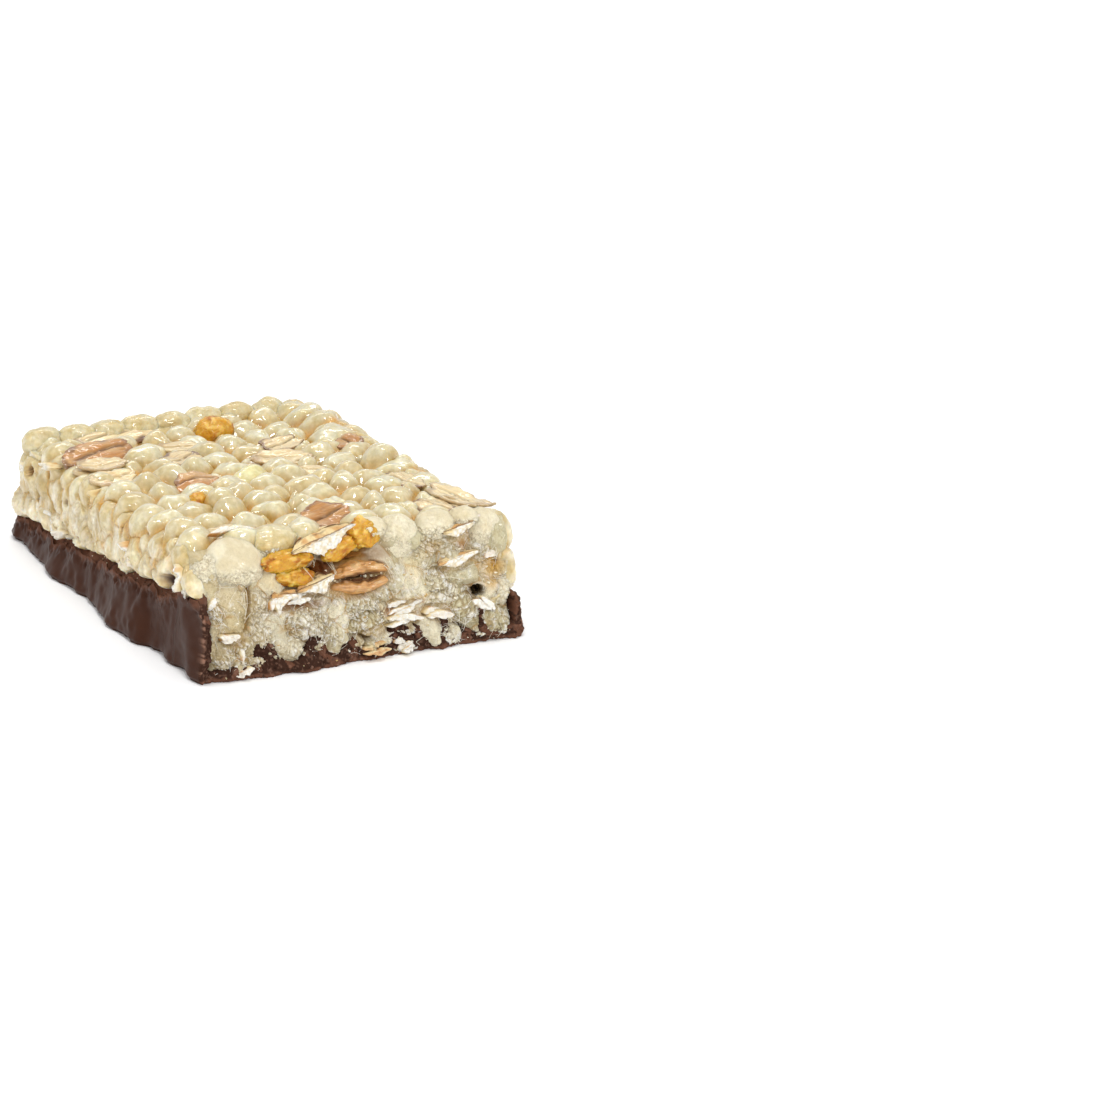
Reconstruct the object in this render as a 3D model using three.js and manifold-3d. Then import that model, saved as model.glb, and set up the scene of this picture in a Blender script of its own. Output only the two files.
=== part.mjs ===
// Half of a cereal bar, broken across: a pressed block of puffed rice, oat flakes and dried fruit
// that stands in a thin tray of chocolate. Millimetres, +Z up, +X toward the broken end,
// origin at the middle of the flat underside.
import * as THREE from 'three';
import { mergeVertices } from 'three/addons/utils/BufferGeometryUtils.js';
import Module from 'manifold-3d';

const wasm = await Module();
wasm.setup();

// Driving dimensions of the half bar
const halfLength = 30.8; // over the chocolate
const halfWidth = 18.3; // over the chocolate's foot
const blockHalfLength = 30; // cereal block before its ends are shaped
const blockHalfWidth = 16; // cereal block between the chocolate walls
const farTop = 11.0; // top of the block at the moulded end, under the grains
const nearTop = 11.8; // top of the block at the break, under the grains
const edgeRadius = 1.6; // round of the block's edges
const fitGap = 0.3; // clearance between cereal and chocolate

// Driving dimensions of the break, the moulded end and the chocolate
const breakFoot = 29.2; // broken face at the underside
const breakLean = 0.24; // set-back of the broken face for each millimetre of height
const cornerLean = 0.06; // the same at the left corner, below its torn top
const cornerLoss = 4.4; // what that corner's top has lost
const breakRelief = 0.35; // coarse lumps of the broken face
const farFoot = 29.6; // moulded end at the underside
const farLean = 5.0; // set-back of the moulded end at the top
const floorThickness = 1.4; // chocolate under the block
const floorLumps = 1.1; // chocolate that rises between the grains near the break
const rimLeft = 4.7; // chocolate's height half way along the left side
const rimRight = 4.3; // and along the right side
const rimWave = 0.35; // unevenness of the rim
const footFlare = 0.9; // how far the chocolate's foot stands out past its rim
const ribDepth = 0.22; // soft upright ribs in the chocolate

// Driving dimensions of the pieces: half lengths, half widths and half thicknesses
const grainSize = { top: [2.35, 1.8, 1.55], side: [2.4, 1.75, 0.85], torn: [2.2, 1.7, 1.2] };
const grainPitch = 4.1;
const grainSink = 0.15; // depth of a top grain's middle under the binder
const flakeThickness = 0.6;
const fruitThickness = 1.2;

// Pieces that stand out on the top: kind, x, y, length, width, turn in degrees from the bar's length
const topPieces = [
  ['fruit', -18.7, 3.2, 4.6, 3.8, 93],
  ['fruit', 7.8, -8.6, 3.2, 2.2, 116],
  ['flake', 0.8, -6.0, 5.6, 3.6, 110],
  ['flake', -14.4, -11.2, 10.0, 4.8, 115],
  ['flake', -22.3, -6.6, 9.4, 4.0, 97],
  ['flake', -9.5, -12.7, 5.2, 3.4, 75],
  ['flake', -4.2, -13.2, 5.4, 3.4, 105],
  ['flake', -13.5, -2.3, 5.9, 3.0, 60],
  ['flake', -8.7, -4.2, 6.0, 3.8, 122],
  ['flake', -4.3, 5.3, 6.8, 4.0, 75],
  ['flake', -9.3, 7.4, 5.8, 3.4, 112],
  ['flake', 1.6, 6.2, 3.8, 2.6, 60],
  ['flake', 20.2, -9.7, 5.4, 3.4, 70],
  ['flake', 21.8, -0.6, 6.4, 3.8, 114],
  ['flake', 20.1, 14.3, 9.8, 3.4, 8],
  ['flake', 21.2, 11.4, 6.2, 3.4, 12],
  ['flake', 10.8, 12.7, 7.0, 3.2, 6],
  ['flake', -6.0, 13.9, 4.5, 2.6, 12],
];

// Pieces that stand out on the broken face: kind, y, z, length, width, turn from level
const breakPieces = [
  ['fruit', -6.7, 10.3, 5.2, 2.2, 6],
  ['fruit', -6.0, 8.6, 3.8, 2.0, -4],
  ['flake', -5.8, 7.0, 7.2, 2.2, 12],
  ['flake', 0.3, 7.6, 6.6, 3.6, 3],
  ['fruit', 0.4, 11.0, 4.0, 2.8, 10],
  ['flake', -3.4, 11.7, 7.2, 2.4, 16],
  ['flake', 4.4, 4.2, 4.2, 1.4, 12],
  ['flake', 4.7, 3.0, 3.8, 1.3, 10],
  ['flake', 7.6, 3.7, 3.4, 1.3, 4],
  ['flake', 10.6, 7.8, 4.4, 1.5, 12],
  ['flake', 11.8, 10.4, 4.2, 1.6, 14],
  ['fruit', 14.3, 5.6, 2.6, 2.6, 0],
  ['flake', -13.4, 3.9, 2.8, 1.4, 0],
  ['flake', 1.5, 2.5, 3.8, 1.4, 8],
];

// Hollows torn open in the block: place of the middle, and half lengths along x, y and z
const hollows = [
  [[27.6, -0.6, 9.9], [2.4, 2.4, 1.0]],
  [[27.4, -3.9, 9.0], [1.8, 0.9, 1.0]],
  [[27.9, -11.5, 6.6], [1.6, 0.6, 2.2]],
  [[28.9, 12.4, 4.9], [1.6, 0.6, 0.6]],
  [[19.4, -16.2, 7.9], [1.8, 1.4, 0.8]],
];

const bell = (value, middle, spread) => Math.exp(-(((value - middle) / spread) ** 2));
const step = (value, low, high) => THREE.MathUtils.smoothstep(value, low, high);
const blend = (low, high, share) => low + (high - low) * share;

// Heights and faces of the two bodies, each a function of place
const rimAt = (x, y) => {
  const left = rimLeft + 0.088 * x + 0.0005 * x * x;
  const right = rimRight - 0.012 * x;
  const wave = rimWave * (Math.sin(1.31 * x + 0.4) * 0.6 + Math.sin(0.57 * x + y) * 0.4);
  return blend(left, right, step(y, -halfWidth, halfWidth)) + wave;
};
const floorAt = (x, y) => {
  const lumps = Math.max(0, Math.sin(1.25 * y + 0.6)) * Math.max(0, Math.sin(0.8 * x + 2.4));
  return floorThickness + floorLumps * lumps * step(x, 20, 26) * (1 - step(Math.abs(y), 12, 14));
};
const topAt = (x, y) => {
  const slope = blend(farTop, nearTop, (x + halfLength) / (2 * halfLength));
  const farCorner = 0.5 * step(-x, 0, 24) * step(y, 4, 16);
  return slope + farCorner + 0.2 * Math.sin(0.37 * x + 1) * Math.cos(0.41 * y);
};
const breakAt = (y, z) => {
  const setBack = blend(breakLean * z, cornerLean * z + cornerLoss * step(z, 5.5, 12.5), step(-y, 8, 16));
  const lumps = Math.sin(1.3 * y + 0.5 * z) * Math.cos(0.9 * z - 0.4 * y);
  return breakFoot - setBack + breakRelief * lumps;
};
const farAt = (z) => -farFoot + farLean * Math.min(1, Math.max(0, z / farTop)) ** 1.6;
const leftAt = (x, z) => {
  const bulge = 0.5 * (1 - step(x, 14, 24)) * step(z - rimAt(x, -halfWidth), -0.5, 1);
  return -(blockHalfWidth - 0.4 + bulge);
};
const rightAt = (x, z) => blockHalfWidth + 0.3 + 0.5 * step(z - rimAt(x, halfWidth), -0.5, 1);

// A box with round edges, as a grid of points from -1 to 1 each way: cells are the counts along x, y, z
function roundedBox(halfSizes, radius, cells) {
  const sizes = halfSizes.map((half) => 2 * half);
  const geometry = new THREE.BoxGeometry(...sizes, ...cells);
  const place = geometry.attributes.position;
  const point = new THREE.Vector3();
  const limit = new THREE.Vector3(...halfSizes).subScalar(radius);
  for (let i = 0; i < place.count; i += 1) {
    point.fromBufferAttribute(place, i);
    const inner = point.clone().clamp(limit.clone().negate(), limit);
    const outward = point.clone().sub(inner);
    if (radius > 0 && outward.length() > 0) {
      point.copy(inner).addScaledVector(outward.normalize(), radius);
    }
    place.setXYZ(i, point.x / halfSizes[0], point.y / halfSizes[1], point.z / halfSizes[2]);
  }
  return geometry;
}

// Moves every point of a geometry by a function that returns its new place
function reshape(geometry, move) {
  const place = geometry.attributes.position;
  for (let i = 0; i < place.count; i += 1) {
    place.setXYZ(i, ...move(place.getX(i), place.getY(i), place.getZ(i)));
  }
  return geometry;
}

// A closed solid from a geometry whose like points are joined
function solidOf(geometry) {
  geometry.deleteAttribute('normal');
  geometry.deleteAttribute('uv');
  const joined = mergeVertices(geometry, 1e-4);
  return new wasm.Manifold(new wasm.Mesh({
    numProp: 3,
    vertProperties: new Float32Array(joined.attributes.position.array),
    triVerts: new Uint32Array(joined.index.array),
  }));
}

function geometryOf(solid) {
  const mesh = solid.getMesh();
  const geometry = new THREE.BufferGeometry();
  geometry.setAttribute('position', new THREE.BufferAttribute(mesh.vertProperties, 3));
  geometry.setIndex(new THREE.BufferAttribute(mesh.triVerts, 1));
  geometry.computeVertexNormals();
  return geometry;
}

// The block's core: each point of a round-edged box is moved onto the faces above. With room it is the
// space that the chocolate leaves for it, open past the break and above the rim.
function blockSolid(room, cells) {
  const halfHeight = (farTop + nearTop) / 4;
  const open = room > 0 ? 6 : 0;
  const box = roundedBox([blockHalfLength, blockHalfWidth, halfHeight], edgeRadius, cells);
  return solidOf(reshape(box, (u, v, w) => {
    const height = (w + 1) / 2;
    const roughX = u * blockHalfLength;
    const roughY = v * blockHalfWidth;
    const low = floorAt(roughX, roughY) + fitGap - room;
    const z = blend(low, topAt(roughX, roughY) + open, height);
    const x = u > 0 ? u * (breakAt(roughY, z) + open) : -u * (farAt(z) - room);
    const y = v > 0 ? v * (rightAt(roughX, z) + room) : -v * (leftAt(roughX, z) - room);
    return [x, y, z];
  }));
}

// Frames of the faces that carry pieces: a point for two coordinates, and the directions along them
const upright = new THREE.Vector3(0, 0, 1);
const leanedBreak = new THREE.Vector3(-breakLean, 0, 1).normalize();
const leanedEnd = new THREE.Vector3(farLean / farTop, 0, 1).normalize();
const faces = {
  top: { point: (x, y) => [x, y, topAt(x, y)], along: new THREE.Vector3(1, 0, 0),
    across: new THREE.Vector3(0, 1, 0) },
  break: { point: (y, z) => [breakAt(y, z), y, z], along: new THREE.Vector3(0, 1, 0), across: leanedBreak },
  left: { point: (x, z) => [x, leftAt(x, z), z], along: new THREE.Vector3(1, 0, 0), across: upright },
  right: { point: (x, z) => [-x, rightAt(-x, z), z], along: new THREE.Vector3(-1, 0, 0), across: upright },
  far: { point: (y, z) => [farAt(z), -y, z], along: new THREE.Vector3(0, -1, 0), across: leanedEnd },
};

// A low-sided egg shape on a face: half sizes, turn in degrees, depth of its middle under the face
function pieceSolid(faceName, first, second, halfSizes, turn, depth, sides = [6, 4], grown = 0) {
  const face = faces[faceName];
  const outward = face.along.clone().cross(face.across).normalize();
  const along = face.along.clone().applyAxisAngle(outward, THREE.MathUtils.degToRad(turn));
  const across = outward.clone().cross(along);
  const place = new THREE.Vector3(...face.point(first, second)).addScaledVector(outward, -depth);
  const matrix = new THREE.Matrix4().makeBasis(along, across, outward).setPosition(place);
  const geometry = new THREE.SphereGeometry(1, ...sides).rotateZ(Math.PI / 2);
  geometry.scale(halfSizes[0] + grown, halfSizes[1] + grown, halfSizes[2] + grown);
  return solidOf(geometry.applyMatrix4(matrix));
}

// Seeded draws between 0 and 1
let drawState = 4177;
function draw() {
  drawState = (drawState * 16807) % 2147483647;
  return drawState / 2147483647;
}

// Grain places on a face: staggered rows with uneven steps, left out where a listed piece lies
function grainPlaces(firstRange, secondRange, pitch, taken) {
  const places = [];
  const rowStep = pitch * 0.82;
  const rows = Math.floor((secondRange[1] - secondRange[0]) / rowStep) + 1;
  const columns = Math.floor((firstRange[1] - firstRange[0]) / pitch) + 1;
  for (let row = 0; row < rows; row += 1) {
    for (let column = 0; column < columns; column += 1) {
      const stagger = row % 2 === 0 ? 0 : 0.5;
      const first = firstRange[0] + (column + stagger + 0.36 * (draw() - 0.5)) * pitch;
      const second = secondRange[0] + (row + 0.34 * (draw() - 0.5)) * rowStep;
      const grain = { first, second, size: 0.88 + 0.26 * draw(), turn: 180 * draw(), lift: draw() };
      const free = taken.every((piece) => !covers(piece, first, second));
      if (free && first <= firstRange[1] && second <= secondRange[1]) {
        places.push(grain);
      }
    }
  }
  return places;
}

// True where a point lies on the middle part of a listed piece
function covers([, first, second, length, width, turn], pointFirst, pointSecond) {
  const angle = THREE.MathUtils.degToRad(turn);
  const alongOffset = (pointFirst - first) * Math.cos(angle) + (pointSecond - second) * Math.sin(angle);
  const acrossOffset = (pointSecond - second) * Math.cos(angle) - (pointFirst - first) * Math.sin(angle);
  return (alongOffset / (length / 2 + 0.5)) ** 2 + (acrossOffset / (width / 2 + 0.7)) ** 2 < 1;
}

function listedSolid(faceName, [kind, first, second, length, width, turn], grown = 0) {
  const thickness = kind === 'fruit' ? fruitThickness : flakeThickness;
  const depth = kind === 'fruit' ? 0.1 : -0.35;
  const sides = kind === 'fruit' ? [8, 5] : [8, 4];
  return pieceSolid(faceName, first, second, [length / 2, width / 2, thickness], turn, depth, sides, grown);
}

function grainSolid(faceName, grain, sizes, sink) {
  const halfSizes = sizes.map((half) => half * grain.size);
  const depth = sink - 0.3 * (grain.lift - 0.5);
  return pieceSolid(faceName, grain.first, grain.second, halfSizes, grain.turn, depth);
}

// Grains along a side stand clear of the chocolate's rim
function sideGrains(faceName, range, heightAt) {
  const places = grainPlaces(range, [4.4, 10.4], grainPitch, []);
  return places
    .filter((grain) => grain.second > heightAt(grain.first) + 2.6)
    .map((grain) => grainSolid(faceName, grain, grainSize.side, 0.3));
}

const topGrains = grainPlaces([-23.4, 24.4], [-13.9, 15.2], grainPitch, topPieces)
  .map((grain) => grainSolid('top', grain, grainSize.top, grainSink));
const tornGrains = grainPlaces([-12.6, 14.2], [4.4, 10.4], grainPitch, breakPieces)
  .map((grain) => grainSolid('break', grain, grainSize.torn, 0.3));
const leftGrains = sideGrains('left', [-24, 22], (x) => rimAt(x, -halfWidth));
const rightGrains = sideGrains('right', [-23, 24], (x) => rimAt(-x, halfWidth));
const endGrains = sideGrains('far', [-13.6, 12.6], (y) => rimAt(-halfLength, -y));
const listed = [
  ...topPieces.map((piece) => listedSolid('top', piece)),
  ...breakPieces.map((piece) => listedSolid('break', piece)),
];

// The largest body of a solid, without loose scraps
const withoutScraps = (solid) => solid.decompose().sort((a, b) => b.volume() - a.volume())[0];

// The cereal block: core, grains, flakes and fruit as one body, with the torn hollows opened
function cerealBlock() {
  const pieces = [...topGrains, ...tornGrains, ...leftGrains, ...rightGrains, ...endGrains, ...listed];
  let block = blockSolid(0, [18, 10, 4]);
  for (const piece of pieces) {
    block = block.add(piece);
  }
  for (const [middle, halfSizes] of hollows) {
    const geometry = new THREE.SphereGeometry(1, 8, 6).scale(...halfSizes).translate(...middle);
    block = block.subtract(solidOf(geometry));
  }
  return withoutScraps(block);
}

// The chocolate: a flat-bottomed tray with flared foot, soft ribs and an uneven rim, broken off at +X
function chocolateTray() {
  const box = roundedBox([halfLength, halfWidth, 4], 0, [36, 12, 2]);
  const outer = solidOf(reshape(box, (u, v, w) => {
    const height = (w + 1) / 2;
    const roughX = u * halfLength;
    const z = rimAt(roughX, v * halfWidth) * height;
    const flare = footFlare * (1 - height) ** 1.5;
    const ribs = ribDepth * Math.sin(1.25 * roughX + 0.6 * Math.sin(0.4 * roughX)) * (1 - height ** 3);
    const left = 16.1 + 1.5 * bell(roughX, 11.3, 5) + 1.2 * bell(roughX, -9, 9);
    const right = 16.9 + 0.5 * bell(roughX, 2, 16);
    const inward = (v > 0 ? right - 17.05 : left - 16.6) * height ** 2 * 0.8;
    const y = v * ((v > 0 ? right : left) + flare * 0.7 + ribs * 0.5 - Math.max(0, inward));
    const broken = breakAt(v * halfWidth, z) + 0.5 + 1.1 * bell(v * halfWidth, -7.1, 5) * (1 - height);
    const corner = 1.6 * Math.max(0, Math.abs(v) - 0.8) ** 2 * 25;
    const x = u > 0 ? u * broken : u * (halfLength - corner - 0.9 * height);
    return [x, y, z];
  }));
  let tray = outer.subtract(blockSolid(fitGap, [18, 10, 4]));
  for (const piece of breakPieces) {
    tray = tray.subtract(listedSolid('break', piece, fitGap));
  }
  return withoutScraps(tray);
}

function addMesh(parent, name, solid, color, roughness) {
  const material = new THREE.MeshStandardMaterial({ color, roughness, metalness: 0 });
  const mesh = new THREE.Mesh(geometryOf(solid), material);
  mesh.name = name;
  parent.add(mesh);
}

const group = new THREE.Group();
addMesh(group, 'cereal_block', cerealBlock(), 0xe2d3ae, 0.5);
addMesh(group, 'chocolate_base', chocolateTray(), 0x45302a, 0.35);

export default group;
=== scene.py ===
import math

import bpy
import numpy as np
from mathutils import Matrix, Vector


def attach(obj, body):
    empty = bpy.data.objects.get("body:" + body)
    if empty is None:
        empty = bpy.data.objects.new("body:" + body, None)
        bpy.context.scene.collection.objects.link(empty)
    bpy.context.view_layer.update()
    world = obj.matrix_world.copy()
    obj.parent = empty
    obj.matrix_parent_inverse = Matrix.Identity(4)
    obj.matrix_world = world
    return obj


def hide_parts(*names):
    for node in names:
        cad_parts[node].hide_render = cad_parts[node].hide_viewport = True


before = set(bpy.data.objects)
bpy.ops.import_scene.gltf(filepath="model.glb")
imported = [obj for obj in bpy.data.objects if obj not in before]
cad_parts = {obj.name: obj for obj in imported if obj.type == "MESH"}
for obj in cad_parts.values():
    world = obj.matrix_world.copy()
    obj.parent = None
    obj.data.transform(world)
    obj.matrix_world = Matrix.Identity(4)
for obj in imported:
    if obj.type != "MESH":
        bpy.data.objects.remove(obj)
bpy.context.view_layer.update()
print("frame loaded:", sorted(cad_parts))

# The half bar's own sizes in millimetres, as its solids have them; meshes are made in metres at the end
bar = {
    "halfLength": 30.8, "halfWidth": 18.3, "blockHalfWidth": 16.0, "farTop": 11.0, "nearTop": 11.8,
    "breakFoot": 29.2, "breakLean": 0.24, "cornerLean": 0.06, "cornerLoss": 4.4, "breakRelief": 0.35,
    "farFoot": 29.6, "farLean": 5.0, "rimLeft": 4.7, "rimRight": 4.3, "rimWave": 0.35, "footFlare": 0.9,
}
grains = {"pitch": 4.1, "seed": 4177, "sideHeights": (4.4, 10.4), "aboveRim": 2.6}

# Pieces that stand out on the top: finish, x, y, length, width, turn in degrees from the bar's length
topPieces = [
    ("fruit", -18.7, 3.2, 4.6, 3.8, 93),
    ("fruit", 7.8, -8.6, 3.2, 2.2, 116),
    ("toasted", 0.8, -6.0, 5.6, 3.6, 110),
    ("toasted", -14.4, -11.2, 10.0, 4.8, 115),
    ("edged", -22.3, -6.6, 9.4, 4.0, 97),
    ("pale", -9.5, -12.7, 5.2, 3.4, 75),
    ("pale", -4.2, -13.2, 5.4, 3.4, 105),
    ("pale", -13.5, -2.3, 5.9, 3.0, 60),
    ("edged", -8.7, -4.2, 6.0, 3.8, 122),
    ("pale", -4.3, 5.3, 6.8, 4.0, 75),
    ("edged", -9.3, 7.4, 5.8, 3.4, 112),
    ("edged", 1.6, 6.2, 3.8, 2.6, 60),
    ("pale", 20.2, -9.7, 5.4, 3.4, 70),
    ("toasted", 21.8, -0.6, 6.4, 3.8, 114),
    ("pale", 20.1, 14.3, 9.8, 3.4, 8),
    ("edged", 21.2, 11.4, 6.2, 3.4, 12),
    ("edged", 10.8, 12.7, 7.0, 3.2, 6),
    ("toasted", -6.0, 13.9, 4.5, 2.6, 12),
]

# Pieces that stand out on the broken face: finish, y, z, length, height, turn from level
breakPieces = [
    ("fruit", -6.7, 10.3, 5.2, 2.2, 6),
    ("fruit", -6.0, 8.6, 3.8, 2.0, -4),
    ("torn", -5.8, 7.0, 7.2, 2.2, 12),
    ("husk", 0.3, 7.6, 6.6, 3.6, 3),
    ("fruit", 0.4, 11.0, 4.0, 2.8, 10),
    ("shelf", -3.4, 11.7, 7.2, 2.4, 16),
    ("torn", 4.4, 4.2, 4.2, 1.4, 12),
    ("torn", 4.7, 3.0, 3.8, 1.3, 10),
    ("torn", 7.6, 3.7, 3.4, 1.3, 4),
    ("torn", 10.6, 7.8, 4.4, 1.5, 12),
    ("torn", 11.8, 10.4, 4.2, 1.6, 14),
    ("fruit", 14.3, 5.6, 2.6, 2.6, 0),
    ("torn", -13.4, 3.9, 2.8, 1.4, 0),
    ("torn", 1.5, 2.5, 3.8, 1.4, 8),
]

# Torn open in the broken face: a slot between two points; hollows by y, z, depth, half width and height
slot = {"high": (-11.0, 8.6), "low": (-12.1, 4.4), "halfWide": 0.24, "deep": 0.95}
hollows = [(-0.6, 9.9, 2.4, 2.4, 1.0), (-3.9, 9.0, 1.8, 0.9, 1.0), (12.4, 4.9, 3.4, 0.6, 0.55)]

# Colours as sRGB values from 0 to 255, made linear where they are used; the crumb's crevice colour is
# painted only as shade, the ambers, the brown edge colour and the darkest one also as shade in pits and
# hollows
colours = {
    "grain": (203, 196, 163), "grainYellow": (184, 158, 98), "crumb": (242, 235, 209),
    "crumbCreviceShade": (162, 134, 86), "nearBlack": (26, 17, 11), "rust": (96, 44, 16), "husk": (204, 148, 82),
    "amber": (192, 146, 72), "deepAmber": (132, 80, 30), "chalk": (240, 238, 231),
    "paleFlake": (232, 210, 160), "toastedFlake": (188, 126, 52), "brownEdge": (88, 46, 22),
    "fruit": (200, 148, 40), "fruitDeep": (170, 104, 22), "fruitPale": (238, 204, 112),
    "greenish": (212, 206, 150),
    "chocolate": (66, 40, 29), "chocolateRim": (112, 76, 59), "chocolateBreak": (62, 41, 32),
    "chocolatePale": (170, 132, 112),
}


def linear(name):  # the usual sRGB curve: a straight foot, then a power of 2.4
    value = np.array(colours[name]) / 255
    return np.where(value <= 0.04045, value / 12.92, ((value + 0.055) / 1.055) ** 2.4)


# Plain shaping functions
def bell(value, middle, spread):
    return np.exp(-(((value - middle) / spread) ** 2))


def step(value, low, high):  # 0 below low, 1 above high, smooth between
    part = np.clip((value - low) / (high - low), 0, 1)
    return part * part * (3 - 2 * part)


def blend(low, high, share):
    return low + (high - low) * share


def joined(*parts):  # coordinates of equal or lesser shape as one array of points
    return np.stack(np.broadcast_arrays(*parts), -1)


def mixColours(first, second, share):
    return first + (second - first) * np.asarray(share)[..., None]


def layered(tint, *layers):  # each colour by name with its share, laid over the tint in turn
    for name, share in layers:
        tint = mixColours(tint, linear(name), share)
    return tint


def cellCode(cell):  # one large number from a cell's three whole numbers, by multiplying and exclusive or
    return (cell[..., 0] * 73856093) ^ (cell[..., 1] * 19349663) ^ (cell[..., 2] * 83492791)


def noise3(points, seed=0):  # smooth blend of hashed values at the eight corners round each point, -1 to 1
    base = np.floor(points).astype(np.int64)
    part = points - base
    part = part * part * (3 - 2 * part)
    total = np.zeros(points.shape[:-1])
    for corner in range(8):
        offset = np.array([corner & 1, corner >> 1 & 1, corner >> 2 & 1])
        cell = base + offset
        code = (cellCode(cell) ^ (seed * 2654435)) & 0xFFFFFFFF
        code = ((code ^ (code >> 13)) * 1274126177) & 0xFFFFFFFF
        value = ((code ^ (code >> 16)) & 0xFFFF) / 32767.5 - 1
        total += np.prod(np.where(offset == 1, part, 1 - part), axis=-1) * value
    return total


def octaves3(points, count, seed=0):  # noise3 at doubled scales and halved strengths, summed
    total = np.zeros(points.shape[:-1])
    for octave in range(count):
        total += noise3(points * 2**octave + 17.3 * octave, seed + octave) * 0.5**octave
    return total


def zigzag(values, seed=0):  # straight lines between hashed values at whole numbers, -1 to 1
    base = np.floor(values)
    low, high = [noise3(joined(base + ahead, seed, 0)) for ahead in (0, 1)]
    return low + (high - low) * (values - base)


def cells3(points, seed=0):  # distances to the nearest and second nearest of one jittered seed a cell
    base = np.floor(points).astype(np.int64)
    nearest = np.full(points.shape[:-1], 9.0)
    second = np.full(points.shape[:-1], 9.0)
    owner = np.zeros(points.shape[:-1])
    for code in range(27):
        cell = base + np.array([code % 3 - 1, code // 3 % 3 - 1, code // 9 - 1])
        hashed = (((cellCode(cell) + seed * 977) & 0xFFFFFFFF) * 1274126177) & 0xFFFFFFFF
        hashed = (hashed ^ (hashed >> 15)) & 0xFFFFFFFF
        spots = [((hashed >> shift) & 0xFF) / 255.0 for shift in (0, 8, 16)]
        gap = np.sqrt(sum((cell[..., axis] + spots[axis] - points[..., axis]) ** 2 for axis in range(3)))
        closer = gap < nearest
        second = np.where(closer, nearest, np.minimum(second, gap))
        owner = np.where(closer, ((hashed >> 4) & 0xFFF) / 4095.0, owner)
        nearest = np.minimum(nearest, gap)
    return nearest, second, owner


# Faces of the bar, as its solids have them
def rimAt(x, y):
    left = bar["rimLeft"] + 0.088 * x + 0.0005 * x * x
    right = bar["rimRight"] - 0.012 * x
    wave = bar["rimWave"] * (np.sin(1.31 * x + 0.4) * 0.6 + np.sin(0.57 * x + y) * 0.4)
    return blend(left, right, step(y, -bar["halfWidth"], bar["halfWidth"])) + wave


def topAt(x, y):
    slope = blend(bar["farTop"], bar["nearTop"], (x + bar["halfLength"]) / (2 * bar["halfLength"]))
    farCorner = 0.5 * step(-x, 0, 24) * step(y, 4, 16)
    return slope + farCorner + 0.2 * np.sin(0.37 * x + 1) * np.cos(0.41 * y)


def breakAt(y, z):
    corner = bar["cornerLean"] * z + bar["cornerLoss"] * step(z, 5.5, 12.5)
    setBack = blend(bar["breakLean"] * z, corner, step(-y, 8, 16))
    lumps = np.sin(1.3 * y + 0.5 * z) * np.cos(0.9 * z - 0.4 * y)
    return bar["breakFoot"] - setBack + bar["breakRelief"] * lumps


def farAt(z):
    return -bar["farFoot"] + bar["farLean"] * np.clip(z / bar["farTop"], 0, 1) ** 1.6


def leftAt(x, z):
    bulge = 0.5 * (1 - step(x, 14, 24)) * step(z - rimAt(x, -bar["halfWidth"]), -0.5, 1)
    return -(bar["blockHalfWidth"] - 0.4 + bulge)


def rightAt(x, z):
    return bar["blockHalfWidth"] + 0.3 + 0.5 * step(z - rimAt(x, bar["halfWidth"]), -0.5, 1)


# Seeded draws and the staggered rows that the grains lie in
drawState = [grains["seed"]]


def draw():
    drawState[0] = drawState[0] * 16807 % 2147483647
    return drawState[0] / 2147483647


def covers(piece, pointFirst, pointSecond):
    _, first, second, length, width, turn = piece
    angle = math.radians(turn)
    alongOffset = (pointFirst - first) * math.cos(angle) + (pointSecond - second) * math.sin(angle)
    acrossOffset = (pointSecond - second) * math.cos(angle) - (pointFirst - first) * math.sin(angle)
    return (alongOffset / (length / 2 + 0.5)) ** 2 + (acrossOffset / (width / 2 + 0.7)) ** 2 < 1


def grainPlaces(firstRange, secondRange, pitch, taken):  # rows of (first, second, size, turn, lift)
    places = []
    rowStep = pitch * 0.82
    rows = int((secondRange[1] - secondRange[0]) // rowStep) + 1
    columns = int((firstRange[1] - firstRange[0]) // pitch) + 1
    for row in range(rows):
        for column in range(columns):
            stagger = 0 if row % 2 == 0 else 0.5
            first = firstRange[0] + (column + stagger + 0.36 * (draw() - 0.5)) * pitch
            second = secondRange[0] + (row + 0.34 * (draw() - 0.5)) * rowStep
            grain = (first, second, 0.88 + 0.26 * draw(), 180 * draw(), draw())
            free = not any(covers(piece, first, second) for piece in taken)
            if free and first <= firstRange[1] and second <= secondRange[1]:
                places.append(grain)
    return places


def sidePlaces(firstRange, heightAt):
    places = grainPlaces(firstRange, grains["sideHeights"], grains["pitch"], [])
    return [grain for grain in places if grain[1] > heightAt(grain[0]) + grains["aboveRim"]]


topGrains = grainPlaces((-23.4, 24.4), (-13.9, 15.2), grains["pitch"], topPieces)
tornGrains = grainPlaces((-12.6, 14.2), grains["sideHeights"], grains["pitch"], breakPieces)
leftGrains = sidePlaces((-24, 22), lambda x: rimAt(x, -bar["halfWidth"]))
rightGrains = sidePlaces((-23, 24), lambda x: rimAt(-x, bar["halfWidth"]))
endGrains = sidePlaces((-13.6, 12.6), lambda y: rimAt(-bar["halfLength"], -y))
print("grains placed:", len(topGrains), len(tornGrains), len(leftGrains), len(rightGrains), len(endGrains))


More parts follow.
